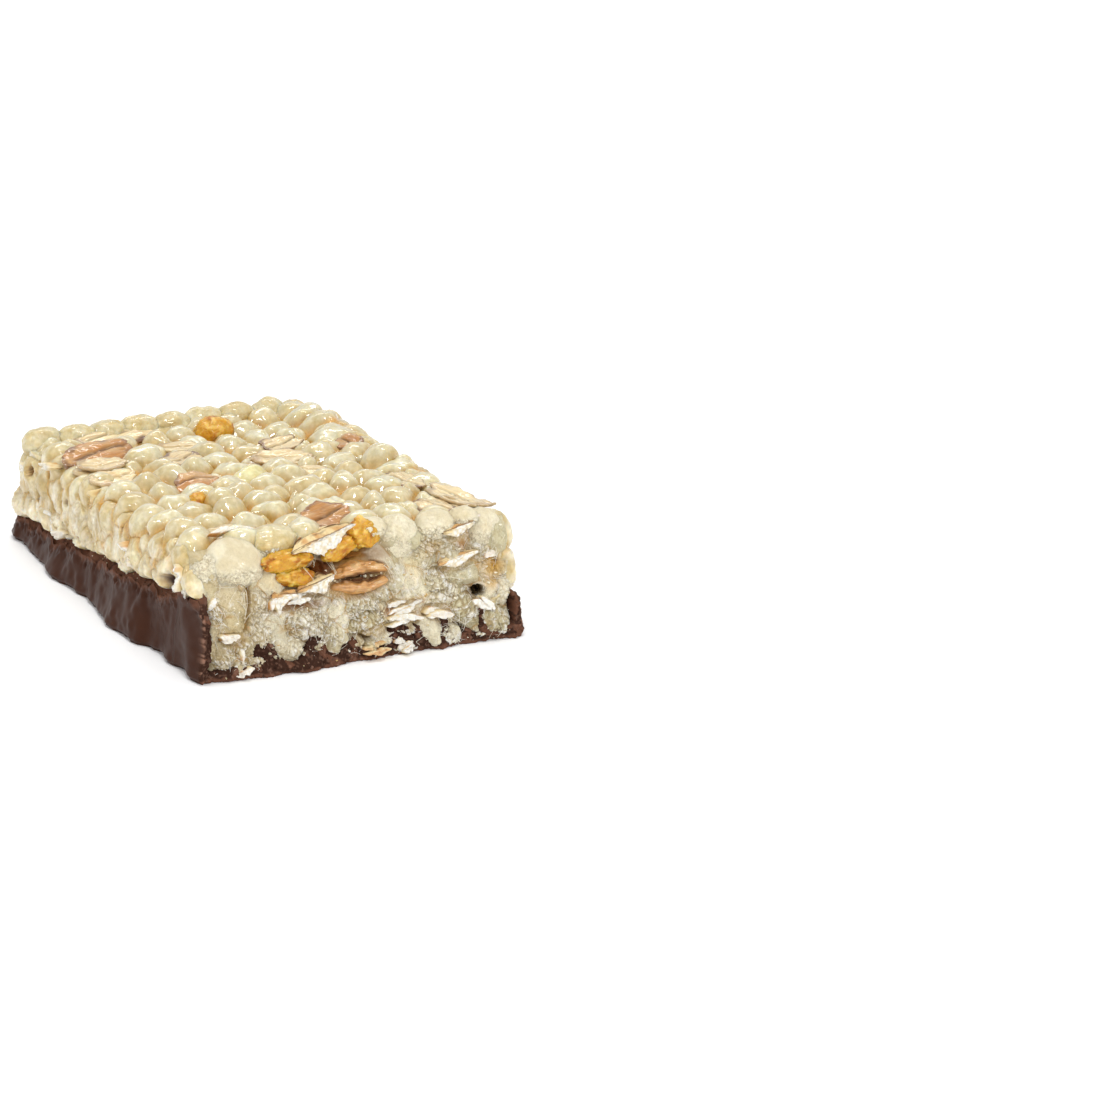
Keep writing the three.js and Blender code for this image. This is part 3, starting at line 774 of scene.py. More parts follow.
def grainStrip():
    s, t, depth, faces = cappedGrid(*strip["grid"])
    share = (s + 1) / 2
    roughX = blend(-27.0, 27.0, share)
    low = np.where(t > 0, strip["lowRight"], strip["lowLeft"])
    q = t * (strip["bend"] + topAt(roughX, 16 * np.sign(t)) - strip["arc"] - low)
    base, _ = stripPlace(roughX, q)
    farX, nearX = farAt(base[:, 2]) + 0.3, breakAt(base[:, 1], base[:, 2]) - 0.5
    x = blend(farX, nearX, share)
    base, _ = stripPlace(x, q)
    puffs = stripPuffs()
    spots = joined(x, q, 0)
    wander = 0.22 * noise3(spots * 0.55, 61) + 0.09 * noise3(spots * 1.6, 62)
    slideX, slideQ, stand, part, owner, along, across = roundPuffs(x, q, puffs, wander)
    keep = 1 - step(np.maximum(farX + 1.5 - x, x - nearX + 1.5), 0.0, 1.5)
    moved, outward = stripPlace(x + slideX * keep, q + slideQ)
    onSide = step(np.abs(q), 13.0, 17.5)
    lift = np.array([p[5] for p in puffs])[owner] - 0.5
    small = np.clip(np.array([p[2] for p in puffs])[owner] / 2.3, 0.3, 1.1)
    crest = blend(strip["topCrest"], strip["sideCrest"], onSide) + 0.6 * lift
    deep = blend(strip["topDeep"], strip["sideDeep"], onSide)
    detail = puffDetail(along, across, part, owner, 3)
    relief = (crest * small**0.7 + deep) * stand - deep + detail
    fill = -deep + blend(0.3, 0.62, onSide) + blend(0.35, 0.45, onSide) * noise3(spots * 0.5, 75)
    relief = smoothMax(relief, fill, blend(0.4, 0.9, onSide))
    rim = rimAt(moved[:, 0], np.sign(q) * bar["halfWidth"])
    relief += 0.25 * onSide * bell(moved[:, 2], rim + 1.6, 1.4) - 1.7 * step(rim - moved[:, 2], -0.7, 0.5)
    rightEdge = 0.35 + np.interp(x, strip["rightAlong"], strip["rightRise"])
    relief += rightEdge * step(q, 11.5, 14.5) * (1 - step(q, 17, 20))
    wrinkles = 0.1 * noise3(spots * 1.3, 74) - 0.09 * np.abs(noise3(spots * 2.2, 76))
    wrinkles = wrinkles - 0.05 * np.abs(noise3(spots * 4.5, 77))
    rough = onSide * (0.35 + 0.65 * step(noise3(spots * 0.35, 80) + 0.08 * (7.5 - moved[:, 2]), -0.4, 0.4))
    foam, creviceShade = foamRelief(spots, rough)
    relief = relief + wrinkles * blend(0.6, 0.9, onSide) + 0.6 * foam
    hollow, dark = np.zeros(len(x)), np.zeros(len(x))
    for face, place, height, halfLong, halfHigh, pit in sidePits:
        if face != "end":
            side = -1 if face == "left" else 1
            middleX, middleQ = -side * place, stripFromSide(-side * place, height, side)
            inside = ((x - middleX) / halfLong) ** 2 + ((q - middleQ) / halfHigh) ** 2
            dent = 1 - step(inside + 0.3 * noise3(spots * 2, 78), 0.4, 1.4)
            relief -= pit * dent
            hollow = np.maximum(hollow, dent)
            dark = np.maximum(dark, dent * (pit > 1.5))
    edge = np.minimum(x - farX, nearX - x)
    relief -= rollOver(edge, strip["endRoll"])
    relief -= strip["wall"] * depth
    points = moved + outward * relief[:, None]
    points[:, 0] -= strip["tuck"] * depth * (step(s, 0.9, 1.0) - step(-s, 0.9, 1.0))
    points[-1] = (0, 0, 6)  # where the fan behind closes
    tint = puffColour(points, part, owner, blend(1.0, 0.8, onSide))
    cloudy = step(noise3(points * 0.9, 69) + 0.3 * noise3(points * 2.3, 70), -0.5, 0.5)
    tint = mixColours(tint, linear("grainYellow") * 0.94, 0.7 * onSide * (1 - cloudy) * (1 - part**4))
    greenX, greenQ = strip["greenGrain"]
    green = np.argmin([math.hypot(p[0] - greenX, p[1] - greenQ) for p in puffs])
    # painted shade: the foam's crevices darker, and each side pit amber, then deep amber, then dark brown
    # toward its bottom
    tint = layered(
        tint, ("crumb", 0.45 * rough * cloudy), ("crumbCreviceShade", 0.5 * creviceShade),
        ("crumb", 0.4 * onSide * (1 - step(moved[:, 2] - rim, 0.5, 4.0))),
        ("greenish", 0.8 * (owner == green) * (1 - part**3)), ("amber", 0.8 * hollow),
        ("deepAmber", 0.8 * step(hollow, 0.6, 0.9)), ("brownEdge", 0.7 * step(hollow, 0.85, 1.0)))
    # the deepest pits painted darker still as shade
    tint = mixColours(tint, linear("brownEdge") * 0.6, 0.95 * step(dark, 0.3, 0.7))
    mesh = makeMesh("puffedSkin", points, faces, tint)
    glazed = blend(0.95, 0.25 + 0.6 * step(noise3(points * 0.5, 79), -0.4, 0.5), onSide)
    addMask(mesh, "gloss", glazed * (1 - 0.8 * step(part, 0.75, 1.0)) * (1 - hollow))
    addPiece("puffedSkin", mesh, materials["grain"], "cereal_block")


grainStrip()


farFace = {
    "grid": (176, 62, 3), "halfWidth": 15.9, "low": 1.6, "topX": -26.0, "roll": 1.6, "sink": 1.6,
    "plump": (2.3, 1.95), "dartPlump": (2.5, 2.2),
    "darts": ((0.9, 3.0), (0.7, 2.3), (0.5, 1.8)), "tries": 900,  # a puff's size, how clear of the others
}


def farEnd():  # the cut far end: pressed puffs over the leaning face
    s, t, depth, faces = cappedGrid(*farFace["grid"])
    halfWidth, topX = farFace["halfWidth"], farFace["topX"]
    (plumpA, plumpB), (dartA, dartB) = farFace["plump"], farFace["dartPlump"]
    place, z = -s * halfWidth, blend(farFace["low"], topAt(topX, s * halfWidth) - 0.3, (t + 1) / 2)
    rng = np.random.default_rng(91)
    placed = [(g[0], g[1], plumpA * g[2], plumpB * g[2], g[3], g[4]) for g in endGrains]
    for size, clear in farFace["darts"]:
        for first, second, grow, turn, lift in rng.random((farFace["tries"], 5)):
            first, second = first * 30 - 15, 2.6 + second * 8
            taken = np.array(placed)[:, :2]
            if np.min(np.hypot(taken[:, 0] - first, taken[:, 1] - second)) > clear:
                grown = size * (0.93 + 0.16 * grow)
                placed.append((first, second, dartA * grown, dartB * grown, 180 * turn, lift))
    spots = joined(place, z, 3)
    wander = 0.22 * noise3(spots * 0.55, 63) + 0.09 * noise3(spots * 1.6, 64)
    slideA, slideZ, stand, part, owner, along, across = roundPuffs(place, z, placed, wander)
    keep = 1 - step(np.maximum(np.abs(place) - halfWidth + 1.5, z - topAt(topX, -place) + 2.0), 0.0, 1.3)
    place, z = place + slideA * keep, z + slideZ * keep
    relief = (0.8 + strip["sideDeep"]) * stand - strip["sideDeep"]
    relief = relief + puffDetail(along, across, part, owner, 9)
    relief = smoothMax(relief, -0.15 + 0.1 * noise3(spots * 0.8, 65), 0.3)
    relief -= 0.09 * np.abs(noise3(spots * 2.2, 66)) + 0.05 * np.abs(noise3(spots * 4.5, 67))
    pit = next(p for p in sidePits if p[0] == "end")
    inside = ((place - pit[1]) / pit[3]) ** 2 + ((z - pit[2]) / pit[4]) ** 2
    hollow = 1 - step(inside, 0.4, 1.4)
    relief -= pit[5] * hollow
    edge = np.minimum(halfWidth - np.abs(place), topAt(topX, -place) - 0.2 - z)
    relief -= rollOver(edge, farFace["roll"])
    relief -= farFace["sink"] * step(rimAt(-bar["halfLength"], -place) - z, -0.3, 0.6)
    x = farAt(z) - relief + 3.0 * depth
    y = -place * np.where(place < 0, rightAt(x, z), -leftAt(x, z)) / bar["blockHalfWidth"]
    points = joined(x, y, z)
    points[-1] = (-20, 0, 6)  # where the fan behind closes
    # the end pit painted deep amber as shade
    tint = layered(puffColour(points, part, owner, 0.7), ("deepAmber", 0.8 * hollow))
    mesh = makeMesh("farEnd", points, faces, tint)
    addMask(mesh, "gloss", 0.25 + 0.5 * step(noise3(points * 0.5, 68), -0.4, 0.5))
    addPiece("farEnd", mesh, materials["grain"], "cereal_block")


farEnd()


# Single large puffs on the block's edges: x, y, z, half sizes, how spongy their skin is
edgePuffs = [
    (24.6, -11.3, 9.9, 2.8, 3.1, 2.9, 0.15), (24.5, -7.2, 11.7, 2.0, 2.6, 1.7, 0.0),
    (24.6, -13.9, 9.4, 1.9, 1.9, 1.9, 1.0), (24.6, -12.0, 8.6, 2.1, 2.6, 1.6, 1.0),
    (25.5, 5.2, 10.8, 1.9, 2.1, 2.25, 0.6), (25.4, 14.5, 10.5, 2.0, 1.9, 2.1, 0.5),
    (25.7, 9.2, 11.6, 1.7, 1.9, 1.4, 0.4), (22.0, -14.6, 10.2, 2.2, 1.9, 1.9, 0.0),
    (25.9, 12.3, 12.0, 1.4, 1.5, 1.1, 0.3), (25.7, 2.4, 12.1, 1.5, 1.5, 1.1, 0.2),
    (-25.2, -14.0, 10.7, 2.0, 2.3, 2.0, 0.0), (-24.3, -10.4, 11.2, 1.9, 2.3, 1.7, 0.0),
    (-24.1, -7.0, 11.3, 1.9, 2.3, 1.8, 0.0), (-24.4, -3.4, 11.4, 1.8, 2.4, 1.7, 0.0),
    (-24.1, 0.4, 11.5, 1.8, 2.4, 1.7, 0.0), (-24.4, 4.2, 11.5, 1.9, 2.4, 1.8, 0.0),
    (-24.2, 8.1, 11.6, 1.9, 2.3, 1.8, 0.0), (-24.3, 11.8, 11.7, 1.8, 2.2, 1.8, 0.0),
    (-24.2, 14.8, 11.1, 1.9, 1.9, 1.8, 0.0), (-26.4, -14.8, 8.0, 1.8, 1.7, 2.3, 0.0),
    (-25.8, -14.0, 5.4, 1.7, 1.7, 1.9, 0.0), (-26.2, 14.9, 7.4, 1.7, 1.7, 1.9, 0.0),
    (-27.6, 14.8, 4.6, 1.7, 1.7, 1.8, 0.0),
]


puffLooks = {"grain": {"ball": (60, 40), "gloss": 0.5}, "crumb": {"ball": (112, 76), "gloss": 0.3}}


def singlePuffs(name, values, kind):  # round forms with lumps, open foam where the skin is torn
    rng = np.random.default_rng(51)
    unit, faces = unitBall(*puffLooks[kind]["ball"])
    offset = rng.uniform(0, 90, (len(values), 1, 3))
    lumps = 1 + 0.1 * noise3(unit * 1.4 + offset, 3) + 0.05 * noise3(unit * 3.3 + offset, 4)
    shapes = unit[None] * lumps[..., None] * values[:, None, 3:6]
    spots = shapes + offset
    torn = np.maximum(values[:, None, 6], step(-unit[None, :, 2], -0.35, 0.1) * (values[:, None, 6] > 0.1))
    foam, creviceShade = foamRelief(spots, torn)
    folds = -0.05 * np.abs(noise3(spots * 1.8, 5))
    shapes = shapes + unit[None] * (folds + 0.45 * foam)[..., None]
    points, faceSets = joinCopies(shapes + values[:, None, :3], faces)
    pick = rng.random((len(values), 1))
    cloud = step(noise3(spots * 0.7, 6) + 0.4 * noise3(spots * 1.9, 7), -0.5, 0.5)
    # the underside of each puff is painted amber as shade, and its foam's crevices are painted darker as
    # shade
    under = 1 - step(unit[None, :, 2], -0.8, 0.2)
    tint = layered(linear(kind), ("grainYellow", 0.2 + 0.15 * pick + 0.3 * cloud),
                   ("amber", 0.3 * under * (1 - torn)), ("crumb", 0.85 * torn), ("crumbCreviceShade", 0.4 * creviceShade))
    mesh = makeMesh(name, points, faceSets, tint)
    addMask(mesh, "gloss", puffLooks[kind]["gloss"] * (1 - torn) * step(unit[None, :, 2], -0.4, 0.3))
    addPiece(name, mesh, materials[kind], "cereal_block")


edgePuffs = np.array(edgePuffs)
foamed = edgePuffs[:, 6] > 0.12
singlePuffs("edgePuffs", edgePuffs[~foamed], "grain")
singlePuffs("foamPuffs", edgePuffs[foamed], "crumb")


crumbFace = {
    "grid": (520, 150, 6), "low": 0.4, "topX": 26.0, "back": 22.4, "roll": 1.3, "gapDepth": 1.3,
    "darts": ((1.3, 1.75), (0.95, 1.25), (0.7, 0.95)), "tries": 1500,  # as on the far end
    "stainY": 14.3,  # the fruit there has only stained the crumb
}
# Puffs seen in the broken face: y, z, half width, half height, rise, smoothness of their skin, tone
tornPuffs = [
    (-11.6, 10.5, 2.9, 2.6, 0.2, 0.4, 1.0), (-13.2, 7.6, 1.6, 2.2, 0.6, 0.2, 0.97),
    (-10.4, 6.5, 1.2, 1.7, 0.3, 0.2, 0.97), (-13.4, 5.2, 1.3, 1.2, 0.6, 0.2, 1.0),
    (-8.1, 5.4, 1.6, 1.4, 0.4, 0.2, 0.95), (-6.2, 4.5, 1.5, 1.4, 0.45, 0.2, 0.98),
    (-4.0, 5.7, 1.6, 1.0, 0.35, 0.1, 0.92), (-2.2, 5.4, 1.4, 1.1, 0.4, 0.1, 0.96),
    (0.1, 5.2, 1.8, 1.1, 0.5, 0.1, 1.0), (0.7, 3.3, 2.0, 1.25, 0.9, 0.0, 1.04),
    (-2.6, 2.3, 1.1, 1.4, 0.6, 0.2, 1.0), (-7.6, 2.2, 1.7, 1.5, 0.5, 0.5, 0.86),
    (-6.3, 3.5, 1.3, 1.0, 0.3, 0.1, 0.95), (5.2, 10.9, 2.0, 2.2, 1.1, 0.8, 1.04),
    (4.1, 6.9, 1.3, 1.6, 0.5, 0.1, 1.0), (5.7, 6.9, 1.2, 1.3, 0.6, 0.2, 0.96),
    (6.8, 9.0, 1.8, 1.3, 0.4, 0.1, 1.0), (8.2, 6.6, 1.4, 1.3, 0.45, 0.1, 1.0),
    (11.2, 6.6, 1.6, 1.1, 0.5, 0.2, 1.02), (10.8, 3.5, 1.5, 2.1, 0.8, 0.1, 1.04),
    (14.2, 2.0, 1.8, 1.6, 0.8, 0.1, 1.03), (7.2, 1.9, 1.1, 1.4, 0.7, 0.7, 0.98),
    (15.0, 10.0, 2.1, 2.0, 0.8, 0.7, 1.04), (8.2, 4.5, 1.4, 0.9, 0.35, 0.1, 1.0),
    (15.3, 4.2, 1.2, 1.3, 0.4, 0.6, 0.94), (12.8, 8.9, 1.4, 1.0, 0.4, 0.2, 1.0),
    (10.4, 11.4, 1.6, 1.0, 0.6, 0.5, 1.02), (-10.5, 3.1, 1.0, 1.1, 0.35, 0.3, 0.9),
    (-14.6, 9.4, 1.4, 1.8, 0.5, 0.5, 1.0), (-14.6, 2.3, 1.3, 1.5, 0.5, 0.2, 0.98),
    (8.6, 11.0, 1.3, 1.0, 0.5, 0.4, 1.0), (-13.2, 1.0, 1.2, 0.9, 0.4, 0.1, 1.0),
    (2.5, 9.3, 1.3, 1.0, 0.2, 0.7, 0.94), (13.3, 6.6, 1.1, 1.0, 0.3, 0.2, 0.98),
    (-8.6, 8.6, 1.4, 1.6, 0.2, 0.8, 0.98), (9.6, 8.6, 1.3, 1.0, 0.4, 0.3, 1.0),
    (2.6, 5.9, 1.2, 0.9, 0.3, 0.1, 1.0), (5.0, 5.2, 1.3, 0.7, 0.2, 0.1, 1.0),
    (-4.9, 3.6, 1.0, 0.8, 0.3, 0.1, 0.97), (12.6, 11.8, 1.5, 0.9, 0.6, 0.5, 1.02),
    (15.6, 7.0, 1.1, 1.3, 0.4, 0.3, 1.0), (-15.2, 11.2, 1.6, 1.4, 0.9, 0.9, 1.0),
    (-4.4, 1.9, 0.9, 0.8, 0.3, 0.1, 0.9), (-0.4, 1.6, 0.9, 0.7, 0.3, 0.1, 0.95),
    (2.6, 1.9, 1.0, 0.8, 0.35, 0.1, 0.97), (-9.2, 4.2, 1.2, 0.9, 0.3, 0.3, 0.92),
    (4.9, 2.2, 1.0, 0.8, 0.3, 0.1, 0.95), (12.4, 1.0, 0.6, 0.7, 0.3, 0.1, 1.0),
]


# slides, relief over the break's plane, share toward the border, foam, the crevice mask for painted shade,
# tone, smoothness
def tornRelief(y, z):
    spots = joined(y, z, 0)
    wander = 0.22 * noise3(spots * 0.8, 31) + 0.14 * noise3(spots * 2.2, 32)
    rng = np.random.default_rng(23)
    placed = [(p[0], p[1], p[2] * 1.08, p[3] * 1.08, 0, p[4], p[5], p[6]) for p in tornPuffs]
    for size, clear in crumbFace["darts"]:
        for first, second, grow, turn, lift in rng.random((crumbFace["tries"], 5)):
            first, second = first * 32 - 16, 0.6 + second * 11.2
            taken = np.array(placed)
            gap = np.hypot((taken[:, 0] - first) / (taken[:, 2] * 0.8 + clear * 0.5),
                           (taken[:, 1] - second) / (taken[:, 3] * 0.8 + clear * 0.5))
            if gap.min() > 1:
                placed.append((first, second, size * (0.9 + 0.3 * grow), size * 0.9, 180 * turn,
                               0.1 + 0.3 * lift, 0.15, 0.93 + 0.08 * lift))
    slideY, slideZ, stand, share, owner, along, across = roundPuffs(y, z, placed, wander, 1.3)
    own = np.array([p[5:] for p in placed])[owner]
    rise, smooth, tone = own.T
    rounded = blend(stand**2, stand, 0.25 + 0.35 * smooth)
    relief = (rise + 0.6) * rounded - 0.6
    relief += 0.6 * puffDetail(along, across, share, owner, 47)
    relief = smoothMax(relief, -0.25 + 0.35 * noise3(spots * 0.6, 29), 0.6)
    foam, creviceShade = foamRelief(spots, 1 - 0.8 * smooth)
    return slideY, slideZ, relief + foam, share, foam, creviceShade, tone, smooth


# round each piece the crumb is also painted amber as shade
def clearRoom(relief, y, z):  # the face steps back behind each listed flake, fruit and husk
    rooms = {"fruit": (-0.6, 0.7), "torn": (-0.5, 0.2), "husk": (-0.75, 0.6), "shelf": (-0.4, 0.6)}
    room, tintSpot = np.zeros(len(y)), np.zeros(len(y))
    for name, first, second, length, height, turn in breakPieces:
        if first == crumbFace["stainY"]:
            continue
        angle = math.radians(turn)
        along = (y - first) * math.cos(angle) + (z - second) * math.sin(angle)
        across = (z - second) * math.cos(angle) - (y - first) * math.sin(angle)
        inside = (along / (length / 2)) ** 2 + (across / (height / 2)) ** 2
        share = 1 - step(inside, 0.7, 1.3)
        relief = blend(relief, np.minimum(relief, rooms[name][0]), share)
        room = np.maximum(room, share)
        tintSpot = np.maximum(tintSpot, rooms[name][1] * share)
    return relief, room, tintSpot


# Colour spots on the broken face: the amber, deep amber, brown and rust ones are painted shade, the yellow
# one by the slot is painted glow, the fruit and flake coloured ones are stains; y, z, half width, half
# height, colour, share
breakStainsAndShade = [
    (2.9, 9.8, 1.5, 1.0, "deepAmber", 0.5), (-0.6, 9.9, 2.2, 0.9, "deepAmber", 0.8),
    (-4.2, 8.7, 1.1, 1.0, "deepAmber", 0.95), (-8.6, 8.4, 0.9, 0.9, "paleFlake", 0.6),
    (-5.9, 5.9, 2.6, 0.35, "deepAmber", 0.8), (3.2, 4.3, 1.1, 0.35, "deepAmber", 0.8),
    (6.0, 5.0, 1.6, 0.3, "amber", 0.6), (12.5, 4.9, 0.95, 0.75, "brownEdge", 0.7),
    (14.9, 7.0, 1.3, 1.0, "fruit", 0.85), (14.3, 5.6, 0.9, 0.7, "fruit", 0.6),
    (15.2, 7.6, 0.3, 0.35, "brownEdge", 0.9), (8.4, 9.6, 1.2, 0.8, "amber", 0.35),
    (11.9, 9.4, 0.6, 0.5, "toastedFlake", 0.6), (6.3, 7.9, 0.9, 1.2, "paleFlake", 0.5),
    (0.5, 7.6, 2.6, 0.35, "brownEdge", 0.9), (-2.9, 9.2, 1.6, 1.2, "deepAmber", 0.8),
    (-4.2, 8.6, 0.8, 0.9, "brownEdge", 0.95), (-3.0, 8.9, 1.1, 0.9, "rust", 0.9),
    (-11.2, 6.0, 1.0, 2.4, "grainYellow", 0.5),
]


roots = {}  # points on finished surfaces that crumbs and threads may start from


def brokenEnd():
    s, t, depth, faces = cappedGrid(*crumbFace["grid"])
    halfWidth, topX = bar["blockHalfWidth"], crumbFace["topX"]
    roughY = s * halfWidth
    z = blend(crumbFace["low"], topAt(topX, roughY), (t + 1) / 2)
    slideY, slideZ, relief, share, foam, creviceShade, tone, smooth = tornRelief(roughY, z)
    relief, room, roomShade = clearRoom(relief, roughY, z)
    edge = np.minimum((1 - np.abs(s)) * halfWidth, np.maximum(topAt(topX, roughY) - z, 0))
    keep = 0.6 * step(edge, 0.0, 1.2) * (1 - room) * (1 - step(depth, 0.0, 0.1))
    roughY, z = roughY + slideY * keep, z + slideZ * keep
    spots = joined(roughY, z, 0)
    hollow = np.zeros(len(s))
    for holeY, holeZ, deep, halfY, halfZ in hollows:
        inside = ((roughY - holeY) / halfY) ** 2 + ((z - holeZ) / halfZ) ** 2
        dent = 1 - step(inside + 0.35 * noise3(spots * 1.4, 39), 0.5, 1.3)
        relief -= 0.45 * deep * dent
        hollow = np.maximum(hollow, dent)
    # the last hollow is painted nearly black as shadow
    nearBlack = step(dent, 0.15, 0.6)  # the last hollow is nearly black
    (highY, highZ), (lowY, lowZ), halfWide = slot["high"], slot["low"], slot["halfWide"]
    run = np.clip((highZ - z) / (highZ - lowZ), 0, 1)
    aside = np.abs(roughY - blend(highY, lowY, run) + 0.12 * noise3(spots * 1.2, 30))
    beyond = np.maximum(z - highZ, lowZ - z)
    crack = (1 - step(aside, 0.5 * halfWide, 1.4 * halfWide)) * (1 - step(beyond, -0.3, 0.3))
    relief -= slot["deep"] * crack
    hollow = np.maximum(hollow, 0.85 * crack)
    deepGap = step(share, 0.7, 1.0) * (1 - step(z, 1.2, 3.0)) * step(noise3(spots * 0.5, 28), -0.3, 0.3)
    relief -= crumbFace["gapDepth"] * deepGap
    frontX = breakAt(roughY, z) + relief - rollOver(edge, crumbFace["roll"])
    x = blend(frontX, crumbFace["back"], depth)
    y = roughY * np.where(s > 0, rightAt(x, z), -leftAt(x, z)) / halfWidth
    points = joined(x, y * (1 - 0.05 * depth), z - 0.8 * depth * step(t, 0.9, 1.0))
    points[-1] = (21.5, 0, 6)  # where the fan behind closes
    yellow = 0.5 * step(noise3(points * 0.3, 41) - 0.05 * roughY, 0.0, 0.8)
    puff = layered(linear("crumb"), ("grain", step(tone, 0.96, 1.04)), ("grainYellow", yellow))
    # between puffs, round the pieces, in the foam's crevices and down into the hollows and the slot the
    # crumb is painted amber to dark as shade; the foam's raised ridges are painted whiter as highlight
    seam = step(share, 0.8, 1.0) * step(noise3(spots * 0.5, 42), -0.2, 0.5)
    puff = layered(
        puff * tone[:, None], ("crumbCreviceShade", 0.8 * creviceShade), ("chalk", 0.75 * step(foam, 0.08, 0.18)),
        ("amber", np.maximum(0.6 * seam, roomShade)), ("chocolate", 0.9 * deepGap),
        ("amber", 0.9 * step(hollow, 0.15, 0.8)), ("deepAmber", 0.6 * step(hollow, 0.8, 1.0)))
    for spotY, spotZ, wide, tall, colour, strength in breakStainsAndShade:
        tintSpot = np.exp(-(((y - spotY) / wide) ** 2) - ((z - spotZ) / tall) ** 2)
        puff = layered(puff, (colour, strength * tintSpot))
    mesh = makeMesh("brokenEnd", points, faces, layered(puff, ("nearBlack", nearBlack)))
    addMask(mesh, "gloss", 0.15 * smooth * (1 - hollow))
    ridge = (foam > 0.05) & (hollow < 0.1) & (room < 0.3) & (np.abs(s) < 0.97) & (depth == 0)
    roots["break"] = points[ridge]
    addPiece("brokenEnd", mesh, materials["crumb"], "cereal_block")


brokenEnd()


# Flakes lying in the top: thin leaves with a crease along them, torn outlines and curled edges, two deep
flakeLooks = {
    "pale": {"body": "paleFlake", "edge": 0.45, "crease": 0.5, "light": 0.75, "rise": -0.55, "tilt": -8},
    "edged": {"body": "paleFlake", "edge": 0.9, "crease": 0.9, "light": 0.75, "rise": -0.55, "tilt": -8},
    "toasted": {"body": "toastedFlake", "edge": 0.7, "crease": 0.9, "light": 0.3, "rise": -0.9, "tilt": -24}
}
leafShape = {"ball": (60, 40), "halfThick": 0.3, "creaseDeep": 0.3, "creaseHalf": 0.08, "cup": (-0.35, 0.3)}


def topFlakes():
    rng = np.random.default_rng(7)
    unit, faces = unitBall(*leafShape["ball"])
    unit = unit[:, [1, 2, 0]]
    leaves = []
    for kind, x, y, length, width, turn in topPieces:
        if kind == "fruit":
            continue
        look = flakeLooks[kind]
        leaves.append((kind, x, y, length, width, turn, look["rise"], look["tilt"] + rng.uniform(-7, 7)))
        under = "pale" if rng.random() < 0.6 else kind
        leaves.append((under, x + rng.uniform(-0.7, 0.7), y + rng.uniform(-0.7, 0.7), length * 0.9,
                       width * 0.85, turn + rng.uniform(-25, 25), -0.1, rng.uniform(-12, 12)))
    count = len(leaves)
    offset = rng.uniform(0, 90, (count, 1, 3))
    lengths = np.array([[leaf[3] / 2, leaf[4] / 2] for leaf in leaves])[:, None, :]
    flat = np.hypot(unit[:, 0], unit[:, 1])
    turn = np.arctan2(unit[:, 1], unit[:, 0])
    radius = flat**0.75
    ring = joined(np.cos(turn), np.sin(turn), 0)[None]
    outline = 0.97 + 0.17 * noise3(ring * 1.3 + offset, 11) + 0.12 * noise3(ring * 3.7 + offset, 12)
    outline = outline + 0.07 * noise3(ring * 9.0 + offset, 10)
    x, y = radius * np.cos(turn) * outline, radius * np.sin(turn) * outline
    upper = unit[None, :, 2] > 0
    thick = np.sign(unit[:, 2]) * np.abs(unit[:, 2]) ** 0.6
    spots = joined(x * lengths[..., 0], y * lengths[..., 1], 0) + offset
    waves = 0.22 * noise3(spots * 0.5, 13) + 0.1 * noise3(spots * 1.5, 14) + 0.04 * noise3(spots * 4, 16)
    ridges = 0.05 * np.abs(noise3(spots * np.array([0.6, 4.5, 1]), 17))
    creasePlace = y - 0.12 * np.sin(2.2 * x + offset[..., 0])
    crease = np.exp(-((creasePlace / leafShape["creaseHalf"]) ** 2)) * step(1 - np.abs(x), 0.05, 0.35)
    cup = rng.uniform(*leafShape["cup"], (count, 1))
    z = leafShape["halfThick"] * thick * (0.8 + 0.2 * radius) + waves - ridges * upper
    z = z + cup * (x**2 + y**2) - leafShape["creaseDeep"] * crease * upper
    shapes = joined(x * lengths[..., 0], y * lengths[..., 1], z)
    frames = [pieceFrame("top", *leaf[1:3], leaf[5], leaf[6] + 0.12 * abs(math.sin(leaf[1])), leaf[7])
              for leaf in leaves]
    points, faceSets = joinCopies(placeShapes(shapes, frames), faces)
    looks = [flakeLooks[leaf[0]] for leaf in leaves]
    body = np.array([linear(look["body"]) for look in looks])[:, None, :]
    edge, mark, light = (np.array([[look[key]] for look in looks]) for key in ("edge", "crease", "light"))
    patches = noise3(spots * 0.7, 15)
    streaks = step(noise3(spots * np.array([0.3, 1.3, 1]), 18), 0.0, 0.5)
    tint = layered(body, ("amber", 0.35 * step(patches, 0.0, 0.7)), ("paleFlake", light * streaks))
    tint = tint * rng.uniform(0.92, 1.06, (count, 1, 1))
    edge = step(radius + 0.18 * patches, 0.8, 0.95) * edge
    tint = layered(tint, ("brownEdge", edge), ("nearBlack", 0.85 * crease * mark))
    mesh = makeMesh("topFlakes", points, faceSets, tint)
    addFlakeMap(mesh, joined(x + offset[..., 0], y + offset[..., 1]).reshape(-1, 2))
    addPiece("topFlakes", mesh, materials["flake"], "cereal_block")


def addFlakeMap(mesh, places):  # UV map with u along a flake and v across it
    layer = mesh.uv_layers.new(name="flakeMap")
    corner = np.empty(len(mesh.loops), np.int32)
    mesh.loops.foreach_get("vertex_index", corner)
    layer.data.foreach_set("uv", places[corner].astype(np.float32).ravel())


topFlakes()


